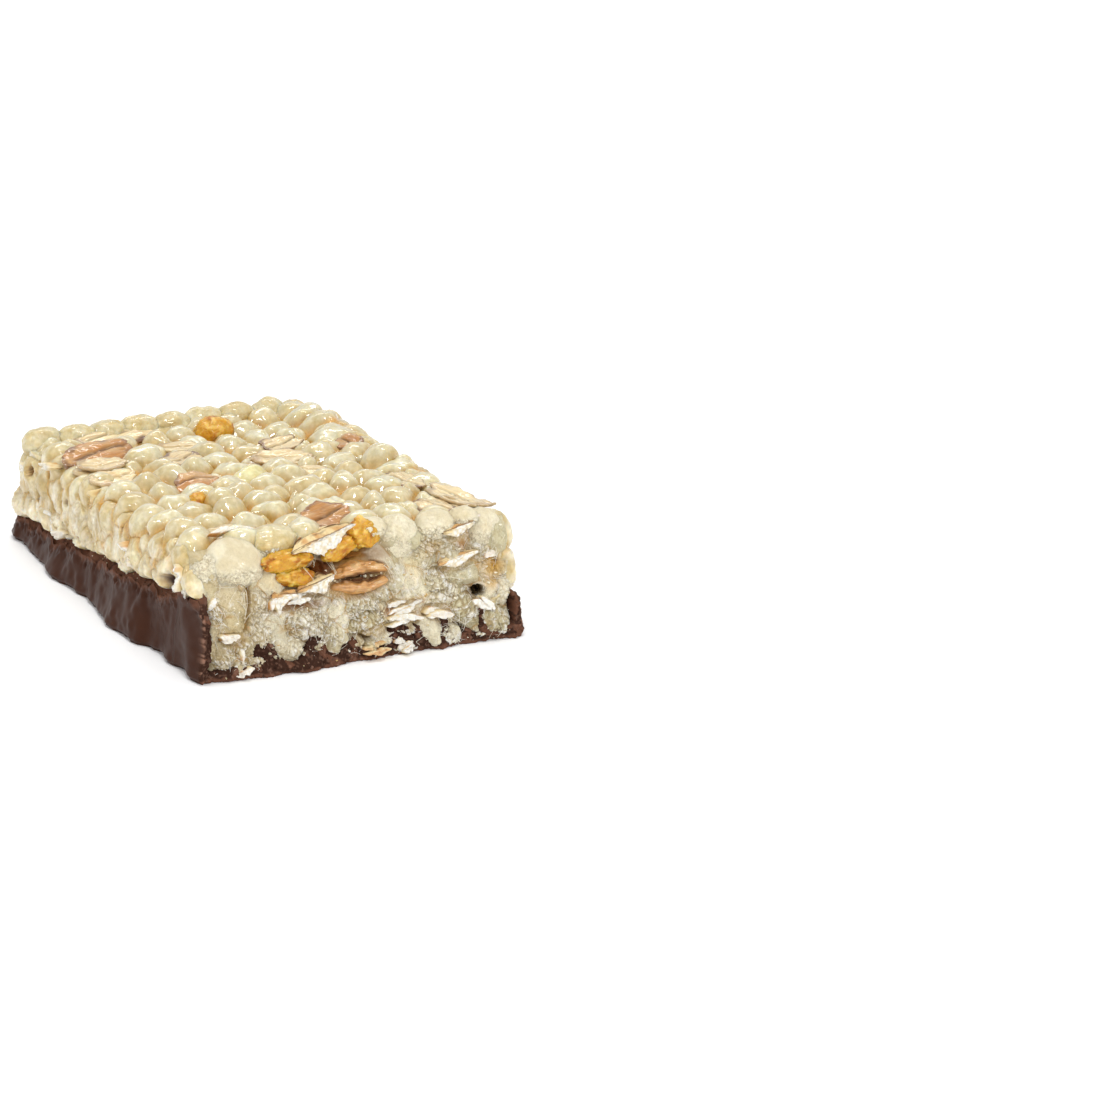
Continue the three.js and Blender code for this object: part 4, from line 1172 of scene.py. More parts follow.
# Torn flakes seen edge on: stacks of thin leaves, their broken fronts white and jagged, their skins tan
slabs = {  # face, place along and up it, length, height, turn from level, how far out, creamy share
    "list": [("break", -8.4, 6.3, 1.6, 1.3, 60, 0.5, 0.1), ("break", -6.0, 6.5, 2.6, 0.9, 8, 0.5, 0.0),
             ("top", 23.8, -10.2, 7.0, 0.8, 92, 1.15, 0.1), ("break", 4.4, 4.75, 4.0, 0.45, 6, 0.3, 0.0),
             ("break", 4.6, 4.05, 4.0, 0.75, 11, 0.5, 0.0), ("break", 4.4, 3.2, 3.6, 0.75, 8, 0.55, 0.0),
             ("break", 7.9, 3.3, 2.9, 1.0, 3, 0.5, 0.1), ("break", 13.2, 3.6, 2.1, 0.95, -38, 0.45, 0.0),
             ("break", -13.5, 4.1, 2.4, 1.0, 0, 0.6, 0.15), ("break", -12.2, 2.4, 2.4, 0.7, 84, 0.45, 0.2),
             ("break", -12.4, 0.85, 2.0, 1.2, 8, 0.6, 0.1), ("break", 4.2, 0.75, 1.6, 1.4, 20, 0.6, 0.0),
             ("break", 1.6, 1.0, 3.6, 0.8, 8, 0.5, 0.9), ("break", -14.9, 7.4, 1.5, 0.5, 65, 0.4, 0.0),
             ("break", 14.6, 8.2, 1.5, 0.6, 30, 0.5, 0.2), ("break", 12.9, 11.8, 2.0, 0.5, 0, 0.5, 0.3),
             ("left", -14.4, 5.3, 4.2, 0.55, -22, 1.1, 0.0), ("left", -11.4, 4.7, 3.6, 0.6, 10, 1.15, 0.2),
             ("left", 9.4, 8.0, 2.2, 0.7, -32, 1.1, 0.0), ("left", 11.2, 7.4, 2.8, 0.55, -16, 1.1, 0.3),
             ("left", 23.4, 9.3, 2.8, 0.6, -72, 1.1, 0.0), ("left", 24.4, 7.8, 2.2, 0.5, -60, 1.0, 0.1),
             ("left", -24.0, 8.9, 3.2, 0.5, -12, 0.9, 0.1), ("left", -25.0, 7.9, 2.4, 0.5, 5, 0.8, 0.0),
             ("left", -15.2, 11.2, 2.6, 0.45, -10, 1.0, 0.2), ("left", -2.0, 10.6, 2.2, 0.4, 70, 1.0, 0.9),
             ("right", -6.0, 7.6, 2.4, 0.7, 15, 0.7, 0.1), ("right", 13.0, 8.4, 2.0, 0.6, -20, 0.7, 0.2),
             ("end", -4.0, 6.6, 2.4, 0.7, 10, 0.7, 0.1)],
    "grid": (48, 8, 3), "leafHeight": 0.4, "deep": 1.7,
}


def tornFlakes():
    rng = np.random.default_rng(19)
    s, t, depth, faces = cappedGrid(*slabs["grid"])
    rows, frames = [], []
    for face, first, second, length, height, turn, out, cream in slabs["list"]:
        count = max(1, round(height / slabs["leafHeight"]))
        for leaf in range(count):
            lift = (leaf + 0.5) / count - 0.5
            rows.append((length * rng.uniform(0.6, 1.0), height / count * rng.uniform(0.75, 1.35), cream,
                         height * lift, rng.uniform(-0.16, 0.16) * length, rng.uniform(-0.3, 0.2),
                         rng.uniform(1.3, 4), rng.uniform(2, 6)))
            tilt = -50 if face == "top" else 0
            frames.append(pieceFrame(face, first, second, turn + rng.uniform(-8, 8), -out,
                                     tilt + rng.uniform(-8, 8)))
    length, height, cream, lift, shift, forward, left, right = np.array(rows).T[:, :, None]
    offset = rng.uniform(0, 90, (len(rows), 1))
    place = s[None, :] * length / 2
    line = place + offset
    blunt = (1 - np.abs(s) ** np.where(s < 0, left, right)) ** 0.7
    upper = 0.3 * zigzag(line * 1.3, 3) + 0.2 * zigzag(line * 3.7, 4)
    lower = 0.5 * zigzag(line * 1.7, 5) + 0.35 * zigzag(line * 4.6, 6)
    across = t[None, :] * height / 2 * blunt * (1 + np.where(t > 0, upper, lower))
    bow = 0.16 * noise3(joined(line * 0.5, 0, 0), 28)
    front = joined(line, across * 1.5, 0)
    nearest, following, owner = cells3(front / 0.42, 29)
    broken = 0.22 * (owner - 0.5) + 0.16 * (0.5 - nearest) + 0.4 * zigzag(line * 0.9, 7)
    broken = broken + 0.2 * zigzag(line * 2.8, 8)
    out = forward + broken * (1 - depth) - slabs["deep"] * depth * (1 + 0.2 * zigzag(line * 1.1, 9))
    shapes = joined(place + shift, across + bow + lift + 0.05 * depth, out)
    points, faceSets = joinCopies(placeShapes(shapes, frames), faces)
    skin = np.maximum(cream, step(depth, 0.0, 0.3)[None, :]) + 0 * place
    skin = np.maximum(skin, 0.7 * step(t, 0.72, 0.95)[None, :] * (zigzag(line * 1.9, 10) > -0.2))
    fibres = noise3(joined(line * 1.2, across * 3, depth), 12)
    tan = layered(linear("paleFlake"), ("husk", step(fibres, -0.1, 0.5)))
    gap = 1 - step(following - nearest, 0.0, 0.12)
    tint = layered(mixColours(linear("chalk"), tan, skin), ("paleFlake", 0.45 * gap * (1 - depth)))
    mesh = makeMesh("tornFlakes", points, faceSets, tint)
    addPiece("tornFlakes", mesh, materials["chalk"], "cereal_block")


tornFlakes()


# Flakes torn across: a tan leaf that reaches into the bar, its broken end white, ragged and thicker
shelves = [  # y, z, length, turn from level, thickness of the end, where it is thickest, how far out, seed
    (-3.3, 11.85, 7.2, 16, 1.35, 0.05, 1.1, 5.0), (-4.3, 7.75, 4.2, 16, 0.8, 0.1, 0.85, 31.0),
    (-7.7, 7.0, 2.8, -4, 1.0, -0.2, 0.75, 47.0), (10.7, 8.3, 4.6, 10, 0.55, 0.0, 0.55, 63.0),
    (11.2, 11.1, 3.6, 12, 0.4, -0.1, 0.7, 71.0),
]
shelfGrid = (96, 28, 20)


def shelfFlakes():
    s, t, depth, faces = cappedGrid(*shelfGrid)
    shapes, tints = [], []
    for first, second, length, turn, thickest, middle, reach, seed in shelves:
        place = s * length / 2
        line = place + seed
        teeth = 0.5 * zigzag(line * 1.4, 21) + 0.35 * zigzag(line * 3.6, 22) + 0.2 * zigzag(line * 8.0, 23)
        blunt = (1 - np.abs(s) ** 4) ** 0.5
        hang = 0.25 + thickest * bell(s, middle, 0.45) * (1 + 0.4 * teeth)
        thick = np.where(t < 0, blend(hang, 0.15, step(depth, 0.0, 0.3)), 0.25)
        spread = joined(place, t * hang, depth * 3.4) + seed + 2
        nearest, _, owner = cells3(spread / 0.42, 29)
        shards = 0.3 * (owner - 0.5) + 0.25 * (0.5 - nearest) - 0.12 * np.abs(noise3(spread * 2.6, 28))
        leaf = 0.25 * noise3(spread * 0.6, 27) + 0.12 * np.abs(noise3(spread * np.array([3.6, 1, 0.7]), 26))
        front = shards + 0.3 * zigzag(line * 0.9, 24) - 0.45 * np.where(t < 0, -t, 0) * hang
        out = np.where(depth > 0, -0.47 * length * depth * (1 - 0.5 * s**2), 0) + front * (1 - depth)
        z = t * thick * blunt + leaf * step(depth, 0.02, 0.3) + 0.5 * depth + 0.12 * s**2
        y = place * (1 - 0.55 * depth**1.5)
        origin, basis = pieceFrame("break", first, second, turn, -reach)
        shapes.append(origin + y[:, None] * basis[0] + z[:, None] * basis[1] + out[:, None] * basis[2])
        white = step(s * 0.9 - t * 0.45 + 0.3 * teeth + 0.2 * noise3(spread * 1.1, 25), -0.6, -0.3)
        fibres = noise3(spread * np.array([0.5, 1.6, 0.5]), 24)
        streak = noise3(joined(s * 1.6 + seed, t * 5 + depth * 9, 0), 30)
        upper = 0.8 * step(t + 0.3 * streak, 0.8, 1.0) * (depth < 0.06)
        rimmed = np.maximum(0.9 * step(np.abs(s), 0.9, 1.0), upper)
        rimmed = np.maximum(rimmed, 0.5 * step(streak, 0.25, 0.6))
        skin = layered(linear("paleFlake"), ("husk", 0.8 * step(fibres, -0.2, 0.5)), ("brownEdge", rimmed))
        bare = white * (1 - step(depth, 0.0, 0.08)) * (1 - 0.8 * step(t, 0.85, 0.95))
        broken = layered(linear("chalk"), ("paleFlake", 0.6 * step(nearest, 0.35, 0.7)))
        tints.append(mixColours(skin, broken, bare))
    points, faceSets = joinCopies(np.array(shapes), faces)
    mesh = makeMesh("shelfFlakes", points, faceSets, np.concatenate(tints))
    addPiece("shelfFlakes", mesh, materials["chalk"], "cereal_block")


shelfFlakes()


# The toasted husk in the broken face: two lips with a dark groove and pale meal between them
huskShape = {  # lips: rise over the middle, half height, reach out of the face, seed
    "ball": (96, 64), "stretch": (3.3, 1.2, 1.0), "lips": ((0.66, 0.78, 1.2, 45), (-0.68, 0.76, 1.0, 46)),
}


def toastedHusk():
    unit, faces = unitBall(*huskShape["ball"])
    stretched = unit * np.array(huskShape["stretch"])
    piece = next(p for p in breakPieces if p[0] == "husk")
    along, side, out = unit.T
    lips = []
    for lift, height, reach, seed in huskShape["lips"]:
        spots = stretched + seed
        wave = 0.18 * noise3(spots * 0.7, seed) + 0.16 * noise3(spots * 1.9, seed + 3)
        groove = 0.2 * np.abs(noise3(spots * np.array([0.5, 3.6, 2.0]), seed + 5))
        grit = 0.07 * noise3(spots * 4.0, seed + 7) - 0.08 * np.abs(noise3(spots * 2.6, seed + 9))
        swell = 1 + wave - groove + grit
        full = (np.maximum(1 - along**2, 0) + 1e-4) ** -0.14
        y = along * piece[3] * 0.44 * (1 + 0.4 * wave) * (1 + 0.05 * lift)
        arch = 0.35 * (1 - along**2) * np.sign(lift)
        z = side * height * swell * full + lift * (1 - 0.25 * along**2) + arch * 0.6
        z = z - 0.12 * along + 0.25 * wave
        x = out * reach * swell * full - 0.35 * step(-side * np.sign(lift), 0.2, 1.0) * reach
        lips.append(joined(y, z, x))
    frames = [pieceFrame("break", piece[1] + 0.35, piece[2] + 0.1, piece[5], 0.15)] * 2
    points, faceSets = joinCopies(placeShapes(np.array(lips), frames), faces)
    rough = np.concatenate([octaves3(stretched * 1.4 + 3, 3, 47), octaves3(stretched * 1.4 + 9, 3, 48)])
    inward = np.concatenate([step(-side, 0.3, 0.85), step(side, 0.3, 0.85)])
    brown = np.clip(0.95 * inward + 0.3 * step(-rough, 0.2, 0.9), 0, 1)
    tint = layered(linear("husk"), ("paleFlake", 0.45 * step(rough, 0.1, 0.8)), ("brownEdge", brown))
    mesh = makeMesh("toastedHusk", points, faceSets, tint)
    addFlakeMap(mesh, np.concatenate([unit[:, :2], unit[:, :2] + 4.0]) * np.array([1.0, 0.7]))
    addPiece("toastedHusk", mesh, materials["flake"], "cereal_block")


toastedHusk()


# Dried fruit: lumpy, wrinkled, sugary pieces in the top and in the broken face
fruitShape = {
    "ball": (80, 54),
    # two lobes stand for the piece at this y: the piece, how deep it lies and how thick it is
    "replacedY": 0.4,
    "lobes": [(("fruit", 1.6, 11.7, 3.3, 3.0, 0), 0.0, 1.5),
              (("fruit", -1.5, 10.8, 3.6, 2.2, 20), 0.1, 1.2)],
}


def driedFruit():
    rng = np.random.default_rng(29)
    unit, faces = unitBall(*fruitShape["ball"])
    skipped = (fruitShape["replacedY"], crumbFace["stainY"])
    listed = [("top", p, *((-0.5, 1.9) if p[3] > 4 else (0.25, 1.3))) for p in topPieces if p[0] == "fruit"]
    listed += [("break", p, 0.1, 1.2) for p in breakPieces if p[0] == "fruit" and p[1] not in skipped]
    listed += [("break", *lobe) for lobe in fruitShape["lobes"]]
    count = len(listed)
    offset = rng.uniform(0, 90, (count, 1, 3))
    lumps = 0.22 * noise3(unit * 1.5 + offset, 51) + 0.13 * noise3(unit * 3.4 + offset, 52)
    lumps -= 0.12 * np.abs(noise3(unit * 5.5 + offset, 53))
    lumps += 0.04 * noise3(unit * 11 + offset, 55) + 0.025 * noise3(unit * 21 + offset, 56)
    lumps = 1.02 + lumps * np.array([0.5 if face == "top" else 1.0 for face, _, _, _ in listed])[:, None]
    sizes = np.array([[p[3] / 2, p[4] / 2, thick] for _, p, _, thick in listed])[:, None, :]
    shapes = unit[None] * lumps[..., None] * sizes
    frames = [pieceFrame(face, p[1], p[2], p[5], depth) for face, p, depth, _ in listed]
    points, faceSets = joinCopies(placeShapes(shapes, frames), faces)
    deep = step(-noise3(unit * 2.2 + offset, 54), 0.0, 0.6)
    sugar = 0.6 * step(noise3(unit * 4.5 + offset, 57), 0.1, 0.6)
    tint = layered(linear("fruit"), ("fruitDeep", deep), ("fruitPale", sugar))
    mesh = makeMesh("driedFruit", points, faceSets, tint)
    addPiece("driedFruit", mesh, materials["fruit"], "cereal_block")


driedFruit()


# Chocolate: its outer faces from a place along the bar, a share across (-1 to 1) and a share of the height
breakLumps = [(-9.8, 1.3, 3.3), (-4.6, 1.1, 3.0), (-1.3, 1.3, 2.2), (4.0, 1.4, 3.0), (8.9, 0.5, 3.4),
              (12.9, 0.4, 3.6), (5.9, 0.6, 2.6)]


coat = {
    "box": (300, 44, 42), "endX": 24.2,
    "breakGrid": (420, 84, 14), "breakX": 29.0, "backX": 22.6, "recess": 4.2,
}


def chocolateRim(x, y):
    return rimAt(x, y) + 0.3 * noise3(joined(x, y, 0) * 0.5, 91)


def raggedRim(x, y, height):  # small teeth and dips that only the uppermost part of the wall follows
    spots = joined(x, y, 0)
    teeth = 0.22 * noise3(spots * 1.1, 90) + 0.24 * noise3(spots * 2.2, 92) + 0.1 * noise3(spots * 5, 87)
    return teeth * step(height, 0.72, 1.0)


def foldPanels(x, z, seed):  # broad panels a little hollow between soft ridges, each of its own depth
    phase = (0.95 * x + 0.9 * np.sin(0.33 * x)) / (2 * math.pi)
    phase = phase + 0.4 * noise3(joined(x * 0.13, z * 0.12, 0), seed) + 0.03 * z
    place = joined(phase * 0.8, z * 0.1, 0)
    ridge = (0.5 + 0.5 * np.cos(2 * math.pi * phase)) ** 1.7
    deep = 0.5 + 0.42 * noise3(place + 0.5, seed + 1)
    return deep * (ridge - 0.35) + 0.16 * noise3(place * 2.3, seed + 2)


leftFoot = np.array([  # a place along the bar and how far out the left side's foot stands there
    (-31, 17.3), (-25, 17.6), (-16.4, 18.0), (-10.2, 18.8), (-7.4, 18.5), (-4.4, 18.4), (-2.2, 17.8),
    (0.5, 18.2), (2.7, 18.5), (6.3, 18.6), (10.8, 19.0), (13.5, 18.9), (15.0, 18.3), (16.0, 17.5),
    (18.5, 17.3), (24.7, 17.4), (29.5, 17.1),
])


def chocolateSides(x, v, height, rim):  # y of the outer face: flared foot, fold panels and scallops
    z = height * rim
    foot = sum(np.interp(x + shift, *leftFoot.T) for shift in (-0.4, 0, 0.4)) / 3
    left = blend(16.4 + 0.4 * (foot - 17.4), foot - 0.25, (1 - height) ** 0.8)
    right = 16.9 + 0.5 * bell(x, 2, 16)
    flare = bar["footFlare"] * (1 - height) ** 1.5
    inward = np.where(v > 0, right - 17.05, left - 16.6) * height**2 * 0.8
    folds = np.where(v > 0, foldPanels(x, z, 193), foldPanels(x, z, 203)) * (1 - 0.8 * height**3)
    spots = joined(x, np.sign(v) * 20, z)
    soft = 0.26 * noise3(spots * 0.4, 94) + 0.08 * noise3(spots * 1.2, 95)
    tuck = (0.3 + 0.25 * np.abs(noise3(spots * np.array([0.5, 1, 0]), 89))) * (1 - step(z, 0.0, 0.55))
    return np.where(v > 0, right + flare * 0.7, left) - np.maximum(0, inward) + folds * 0.55 + soft - tuck


def chocolatePits(points, rim):  # small pits and bumps where grains press through near the rim
    near = step(points[:, 2], rim - 2.0, rim - 0.5)
    nearest, _, owner = cells3(points / 1.2, 96)
    pits = 0.35 * step(owner, 0.6, 0.65) * (1 - step(nearest, 0.12, 0.42))
    bumps = 0.16 * noise3(points * 1.4, 97) + 0.1 * noise3(points * 3.2, 88)
    return near * (pits - bumps)


def chocolateTint(points, rim, dull):
    rough = 0.45 * noise3(points * 0.8, 98) + 0.3 * noise3(points * 2.4, 86)
    thin = step(points[:, 2] + rough, rim - 0.9, rim + 0.1)
    return layered(linear("chocolate"), ("chocolateRim", 0.9 * thin), ("chocolateBreak", dull * 0.85))


def towardEdges(share, power):  # crowds evenly spaced shares toward -1 and 1
    return np.sign(share) * (1 - (1 - np.abs(share)) ** power)


# the rim rounds over, climbs a little to the cereal, then drops out of sight inside it
def ledge(inside, points):
    climb = 0.7 * step(inside, 0.2, 1.5) + 0.14 * noise3(points * 1.8, 85)
    return climb - 0.3 * (1 - step(inside, 0.0, 0.35)) - 3.6 * step(inside, 2.7, 3.6)


def chocolateCoat():
    unit, quads = unitBox(coat["box"])
    u, v, w = unit.T
    v = towardEdges(v, 1.9)
    height = (w + 1) / 2
    endX = coat["endX"]
    roughX = blend(-bar["halfLength"], endX, (towardEdges(u, 1.12) + 1) / 2)
    rim = chocolateRim(roughX, v * bar["halfWidth"])
    corner = 1.6 * np.maximum(0, np.abs(v) - 0.8) ** 2 * 25
    endFolds = foldPanels(v * 17, height * rim, 213) * (1 - 0.8 * height**3)
    farX = -(bar["halfLength"] - corner - 0.9 * height + 0.5 * endFolds - 0.3)
    x = blend(farX, endX, (roughX + bar["halfLength"]) / (endX + bar["halfLength"]))
    outer = chocolateSides(x, v, height, rim)
    y = v * outer
    inside = np.minimum(outer - np.abs(y), x - farX)
    points = joined(x, y, height * rim + raggedRim(x, y, height))
    points[:, 2] += np.where(w > 0.999, ledge(inside, points), 0)
    atSide = np.abs(v) > 0.995
    pits = chocolatePits(points, rim)
    points[:, 1] -= np.sign(v) * atSide * pits
    points[:, 0] += (u < -0.999) * ~atSide * pits
    underside = (w < -0.999) & (inside > 0.8)
    points[:, 2] += underside * (0.05 + 0.05 * noise3(points * 0.8, 84))
    mesh = makeMesh("chocolateCoat", points, [quads], chocolateTint(points, rim, np.zeros(len(x))))
    roots["rim"] = points[(w > 0.999) & (inside < 0.9) & (inside > 0.15)]
    addMask(mesh, "dull", 0.75 * step(points[:, 2], rim - 0.6, rim))
    addPiece("chocolateCoat", mesh, materials["chocolate"], "chocolate_base")


def chocolateBreak():
    s, t, depth, faces = cappedGrid(*coat["breakGrid"])
    v = towardEdges(s, 1.15)
    height = (t + 1) / 2
    rough = coat["breakX"] + 0 * s
    rim = chocolateRim(rough, v * bar["halfWidth"])
    outer = chocolateSides(rough, v, height, rim)
    y, z = v * outer, height * rim
    spots = joined(y, z, 0)
    top = 1.25 + 0.35 * noise3(spots * 0.7, 101) + 0.2 * noise3(spots * 1.9, 105)
    for middle, halfWide, tall in breakLumps:
        top = np.maximum(top, tall * (1 - step(np.abs(y - middle), halfWide * 0.4, halfWide * 1.6)))
    wall = 1 - step(outer - np.abs(y) + 0.2 * noise3(spots * 1.4, 106), 0.8, 1.1)
    solid = np.maximum(wall, 1 - step(z + 0.35 * noise3(spots * 1.5, 102), top - 0.15, top + 0.2))
    grit = 0.16 * octaves3(spots * 1.3, 3, 103) + 0.12 * noise3(spots * 4.4, 104)
    grit -= 0.18 * np.abs(noise3(spots * 2.4, 107)) * solid
    lip = 0.9 * bell(y, -7.1, 5) * (1 - step(z, 0.6, 1.6))
    edge = breakAt(y, z) + 0.15 * solid + 0.25 * wall + lip + grit
    chamfer = 0.15 * (1 - step(np.minimum(outer * (1 - np.abs(v)), z), 0.0, 0.15))
    front = edge - coat["recess"] * (1 - solid) - chamfer
    x = blend(front, coat["backX"], depth)
    outer = chocolateSides(x, v, height, rim)
    y = v * outer
    points = joined(x, y, z + raggedRim(x, y, height))
    inside = outer - np.abs(y)
    points[:, 2] += np.where(t > 0.999, ledge(inside, points), 0)
    points[:, 1] -= np.sign(v) * (np.abs(v) > 0.995) * chocolatePits(points, rim)
    points[-1] = (25.5, 0, 1.0)  # where the fan behind closes
    dull = solid * (1 - step(depth, 0.0, 0.1))
    tint = chocolateTint(points, rim, dull)
    rubbed = dull * step(np.abs(v), 0.982, 0.995) * step(noise3(spots * 5.5, 108), -0.1, 0.4)
    grains = dull * step(noise3(spots * 5.5, 109), 0.3, 0.7) * 0.22
    _, _, lump = cells3(spots / 0.9, 110)
    nearFloor = 1 - step(z + 0.3 * noise3(spots * 1.5, 111), 0.15, 0.5)
    redder = dull * np.maximum(0.8 * (lump > 0.72), 0.8 * nearFloor)
    tint = layered(tint, ("chocolateRim", redder), ("chocolatePale", np.maximum(0.6 * rubbed, grains)))
    mesh = makeMesh("chocolateBreak", points, faces, tint)
    roots["chocolate"] = points[(solid > 0.9) & (np.abs(v) < 0.97) & (depth == 0)]
    addMask(mesh, "dull", np.maximum(dull, 0.75 * step(points[:, 2], rim - 0.6, rim)))
    addPiece("chocolateBreak", mesh, materials["chocolate"], "chocolate_base")


chocolateCoat()
chocolateBreak()


# Loose bits: small angular crumbs of cereal and chocolate that stick where they fell
crumbBits = {
    "cereal": [("break", 260, 0.05, 0.16), ("groove", 22, 0.06, 0.16), ("rim", 60, 0.05, 0.13),
               ("chocolate", 22, 0.05, 0.12)],
    "chocolate": [("chocolate", 170, 0.07, 0.2), ("rim", 110, 0.08, 0.2)],
}
# where crumbs gather under a flake
groove = {"count": 80, "along": (-2.4, 3.2), "height": 7.65, "slope": 0.05}


def bitShape():  # twenty-sided solid: twelve corners from the golden ratio
    g = (1 + math.sqrt(5)) / 2
    corners = [(-1, g, 0), (1, g, 0), (-1, -g, 0), (1, -g, 0), (0, -1, g), (0, 1, g),
               (0, -1, -g), (0, 1, -g), (g, 0, -1), (g, 0, 1), (-g, 0, -1), (-g, 0, 1)]
    faces = [(0, 11, 5), (0, 5, 1), (0, 1, 7), (0, 7, 10), (0, 10, 11), (1, 5, 9), (5, 11, 4),
             (11, 10, 2), (10, 7, 6), (7, 1, 8), (3, 9, 4), (3, 4, 2), (3, 2, 6), (3, 6, 8),
             (3, 8, 9), (4, 9, 5), (2, 4, 11), (6, 2, 10), (8, 6, 7), (9, 8, 1)]
    return np.array(corners) / math.hypot(1, g), np.array(faces)


def scatterBits(kind, seed):
    rng = np.random.default_rng(seed)
    y = rng.uniform(*groove["along"], groove["count"])
    z = groove["height"] + groove["slope"] * y + rng.uniform(-0.25, 0.2, groove["count"])
    roots["groove"] = joined(breakAt(y, z) - rng.uniform(0.3, 0.8, groove["count"]), y, z)
    corners, faces = bitShape()
    shapes = []
    for place, count, small, large in crumbBits[kind]:
        starts = roots[place][rng.integers(0, len(roots[place]), count)]
        size = rng.uniform(small, large, (count, 1, 1)) * rng.uniform(0.5, 1.5, (count, 1, 3))
        uneven = rng.uniform(0.4, 1.3, (count, len(corners), 1))
        shapes.append(starts[:, None, :] + corners[None] * size * uneven)
    shapes = np.concatenate(shapes)
    points, faceSets = joinCopies(shapes, [faces])
    pick = np.repeat(rng.random((len(shapes), 1)), len(corners), axis=1)
    if kind == "cereal":
        yellow, brown = 0.8 * step(pick, 0.3, 0.9), 0.6 * step(pick, 0.85, 0.95)
        tint = layered(linear("crumb"), ("grainYellow", yellow), ("amber", brown))
        material, piece, node = materials["chalk"], "cerealCrumbs", "cereal_block"
    else:
        tint = layered(linear("chocolateBreak"), ("chocolatePale", 0.45 * pick))
        material, piece, node = materials["chocolate"], "chocolateCrumbs", "chocolate_base"
    mesh = makeMesh(piece, points, faceSets, tint, smooth=False)
    if kind == "chocolate":
        addMask(mesh, "dull", np.ones(len(points)))
    addPiece(piece, mesh, material, node)


scatterBits("cereal", 61)
scatterBits("chocolate", 62)


# Threads: three-sided tubes along bent paths; the shreds thinner toward their free ends, the syrup threads
# thinnest in the middle
threads = {
    "shreds": 480, "rings": 6, "length": (0.35, 1.3), "radius": (0.02, 0.042),
    "fanRings": 9, "fanRadius": (0.018, 0.036),
    # fans of drawn syrup: from y, z, to y, z, spread, count, how far out they bow
    "fans": [(-2.8, 10.4, -1.7, 8.3, 0.7, 6, 0.5), (-5.2, 9.6, -4.4, 7.9, 0.3, 2, 0.4),
             (-4.2, 10.6, -4.1, 9.2, 0.15, 2, 0.6), (3.6, 8.9, 4.3, 7.0, 0.7, 9, 0.3),
             (-11.3, 8.0, -11.7, 6.0, 0.25, 4, 0.2), (4.6, 9.6, 5.2, 7.8, 0.8, 10, 0.3),
             (-7.4, 3.0, -8.0, 1.3, 0.8, 10, 0.3), (10.4, 5.2, 10.9, 4.0, 0.5, 6, 0.3),
             (7.0, 7.9, 7.5, 6.3, 0.6, 7, 0.3)],
}


# rings of three points round each path point, joined by quads, ends closed
def thinTubes(paths, radii, turn):
    along = np.gradient(paths, axis=1)
    along /= np.maximum(np.linalg.norm(along, axis=2, keepdims=True), 1e-9)
    side = np.cross(along, turn[:, None, :])
    side /= np.maximum(np.linalg.norm(side, axis=2, keepdims=True), 1e-9)
    other = np.cross(along, side)
    angles = np.arange(3) * 2 * math.pi / 3
    ring = side[:, :, None, :] * np.cos(angles)[:, None] + other[:, :, None, :] * np.sin(angles)[:, None]
    shapes = (paths[:, :, None, :] + ring * radii[:, :, None, None]).reshape(len(paths), -1, 3)
    count = paths.shape[1]
    start, corner = np.meshgrid(np.arange(count - 1) * 3, np.arange(3), indexing="ij")
    ahead = (corner + 1) % 3
    quads = joined(start + corner, start + ahead, start + 3 + ahead, start + 3 + corner).reshape(-1, 4)
    ends = np.array([[0, 2, 1], [3 * count - 3, 3 * count - 2, 3 * count - 1]])
    return joinCopies(shapes, [quads, ends])


def crumbShreds():
    rng = np.random.default_rng(71)
    count = threads["shreds"]
    starts = roots["break"][rng.integers(0, len(roots["break"]), count)]
    share = np.linspace(0, 1, threads["rings"])[None, :, None]
    angle = rng.uniform(0, 2 * math.pi, count)
    way = joined(rng.uniform(0.1, 0.6, count), 0.7 * np.cos(angle), np.sin(angle))[:, None, :]
    bend = rng.normal(0, 0.45, (count, 1, 3)) * np.array([0.5, 1, 1])
    length = rng.uniform(*threads["length"], (count, 1, 1))
    paths = starts[:, None, :] + (way * share + bend * share**2) * length - np.array([0.05, 0, 0])
    radii = rng.uniform(*threads["radius"], (count, 1)) * (1 - 0.6 * share[..., 0])
    points, faceSets = thinTubes(paths, radii, rng.normal(0, 1, (count, 3)))
    pick = np.repeat(rng.random((count, 1)), 3 * threads["rings"], axis=1)
    mesh = makeMesh("crumbShreds", points, faceSets, layered(linear("chalk"), ("crumb", pick)))
    addPiece("crumbShreds", mesh, materials["chalk"], "cereal_block")


def syrupThreads():
    rng = np.random.default_rng(72)
    share = np.linspace(0, 1, threads["fanRings"])
    paths = []
    for y0, z0, y1, z1, spread, count, bow in threads["fans"]:
        for _ in range(count):
            shift, shiftEnd = rng.uniform(-spread, spread, 2)
            y = blend(y0 + shift, y1 + 0.6 * shiftEnd + 0.4 * shift, share)
            y = y + 0.1 * np.sin(3 * share + shift * 9)
            z = blend(z0 + rng.uniform(-0.3, 0.3), z1 + rng.uniform(-0.4, 0.4), share)
            out = bow * np.sin(math.pi * share) * rng.uniform(0.4, 1.2) + rng.uniform(-0.3, 0.3)
            paths.append(joined(breakAt(y, z) + out, y, z))
    paths = np.array(paths)
    radii = rng.uniform(*threads["fanRadius"], (len(paths), 1)) * (0.6 + 0.8 * (2 * share - 1) ** 2)
    points, faceSets = thinTubes(paths, radii, rng.normal(0, 1, (len(paths), 3)))
    mesh = makeMesh("syrupThreads", points, faceSets, np.broadcast_to(linear("crumb"), points.shape))
    addPiece("syrupThreads", mesh, materials["syrup"], "cereal_block")


crumbShreds()
syrupThreads()


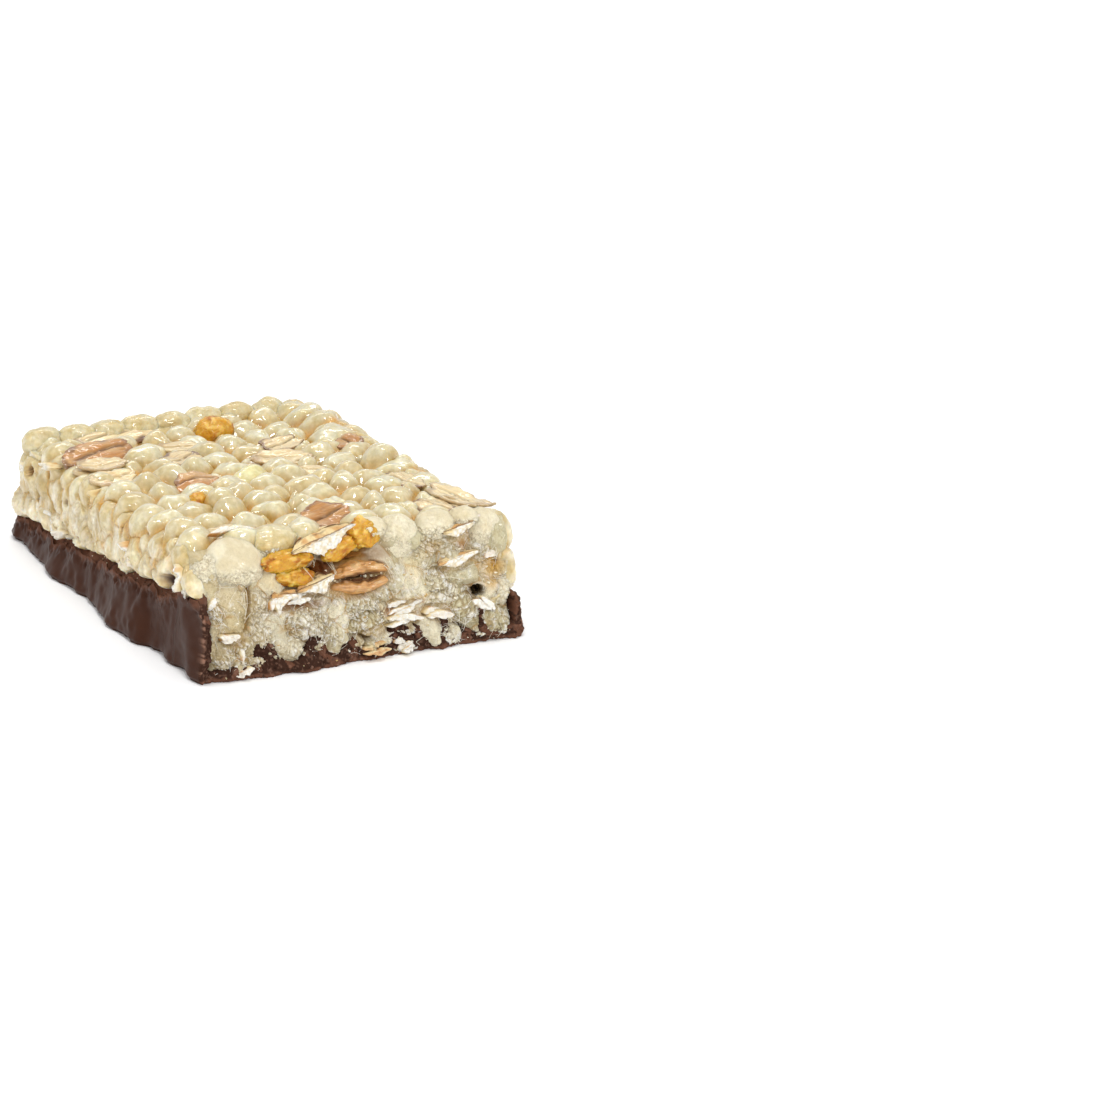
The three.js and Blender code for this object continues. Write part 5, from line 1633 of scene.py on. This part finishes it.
# Stage: pale floor, soft studio light, and the camera at the photograph's angle
stage = {
    "floorHalf": 3.0, "floorGrey": 0.95, "world": 0.73, "farFill": 0.75,
    "camera": (284.74, -110.05, 91.73), "look": (-0.8556, 0.436, -0.279), "lens": 99.06, "sensor": 36.0,
    "lamps": (  # name, place, width, height, power; all aim at the bar
        ("above", (0.05, -0.04, 0.5), 0.16, 0.07, 0.6), ("strip", (-0.3, 0.1, 0.4), 0.4, 0.06, 0.45),
        ("side", (-0.02, -0.38, 0.3), 0.05, 0.05, 0.14), ("front", (0.38, -0.02, 0.24), 0.1, 0.1, 0.7),
    ),
    "aim": (0, 0, 0.005),
}


def setStage():
    floor = bpy.data.meshes.new("floor")
    h = stage["floorHalf"]
    floor.from_pydata([(-h, -h, 0), (h, -h, 0), (h, h, 0), (-h, h, 0)], [], [(0, 1, 2, 3)])
    floor.update()
    ground = bpy.data.objects.new("floor", floor)
    ground.location.z = -0.00003
    bpy.context.scene.collection.objects.link(ground)
    paint, tree, place, _ = startMaterial("paleFloor")
    grey = stage["floorGrey"]
    shade = mapRange(tree, noiseAt(tree, place, 40.0), 0.0, 1.0, grey, grey + 0.02)
    away = addNode(tree, "VectorMath", {0: place}, operation="LENGTH").outputs["Value"]
    fill = mapRange(tree, away, 0.03, 0.35, 0.0, stage["farFill"])
    feed(tree, tree.nodes["Principled BSDF"],
         {"Base Color": shade, "Roughness": 0.9, "Emission Color": fill, "Emission Strength": 1.0})
    floor.materials.append(paint)
    world = bpy.data.worlds.new("studio")
    world.use_nodes = True
    world.node_tree.nodes["Background"].inputs["Color"].default_value = (1, 1, 1, 1)
    world.node_tree.nodes["Background"].inputs["Strength"].default_value = stage["world"]
    bpy.context.scene.world = world
    for name, spot, wide, tall, power in stage["lamps"]:
        light = bpy.data.lights.new(name, "AREA")
        light.shape, light.size, light.size_y, light.energy = "RECTANGLE", wide, tall, power
        lamp = bpy.data.objects.new(name, light)
        lamp.location = spot
        lamp.rotation_euler = (Vector(stage["aim"]) - Vector(spot)).to_track_quat("-Z", "Y").to_euler()
        bpy.context.scene.collection.objects.link(lamp)
    lens = bpy.data.cameras.new("view")
    lens.lens, lens.sensor_width = stage["lens"], stage["sensor"]
    lens.clip_start, lens.clip_end = 0.01, 20
    camera = bpy.data.objects.new("view", lens)
    camera.location = [value * 0.001 for value in stage["camera"]]
    camera.rotation_euler = Vector(stage["look"]).to_track_quat("-Z", "Y").to_euler()
    bpy.context.scene.collection.objects.link(camera)
    bpy.context.scene.camera = camera
    bpy.context.scene.view_settings.view_transform = "Standard"


setStage()
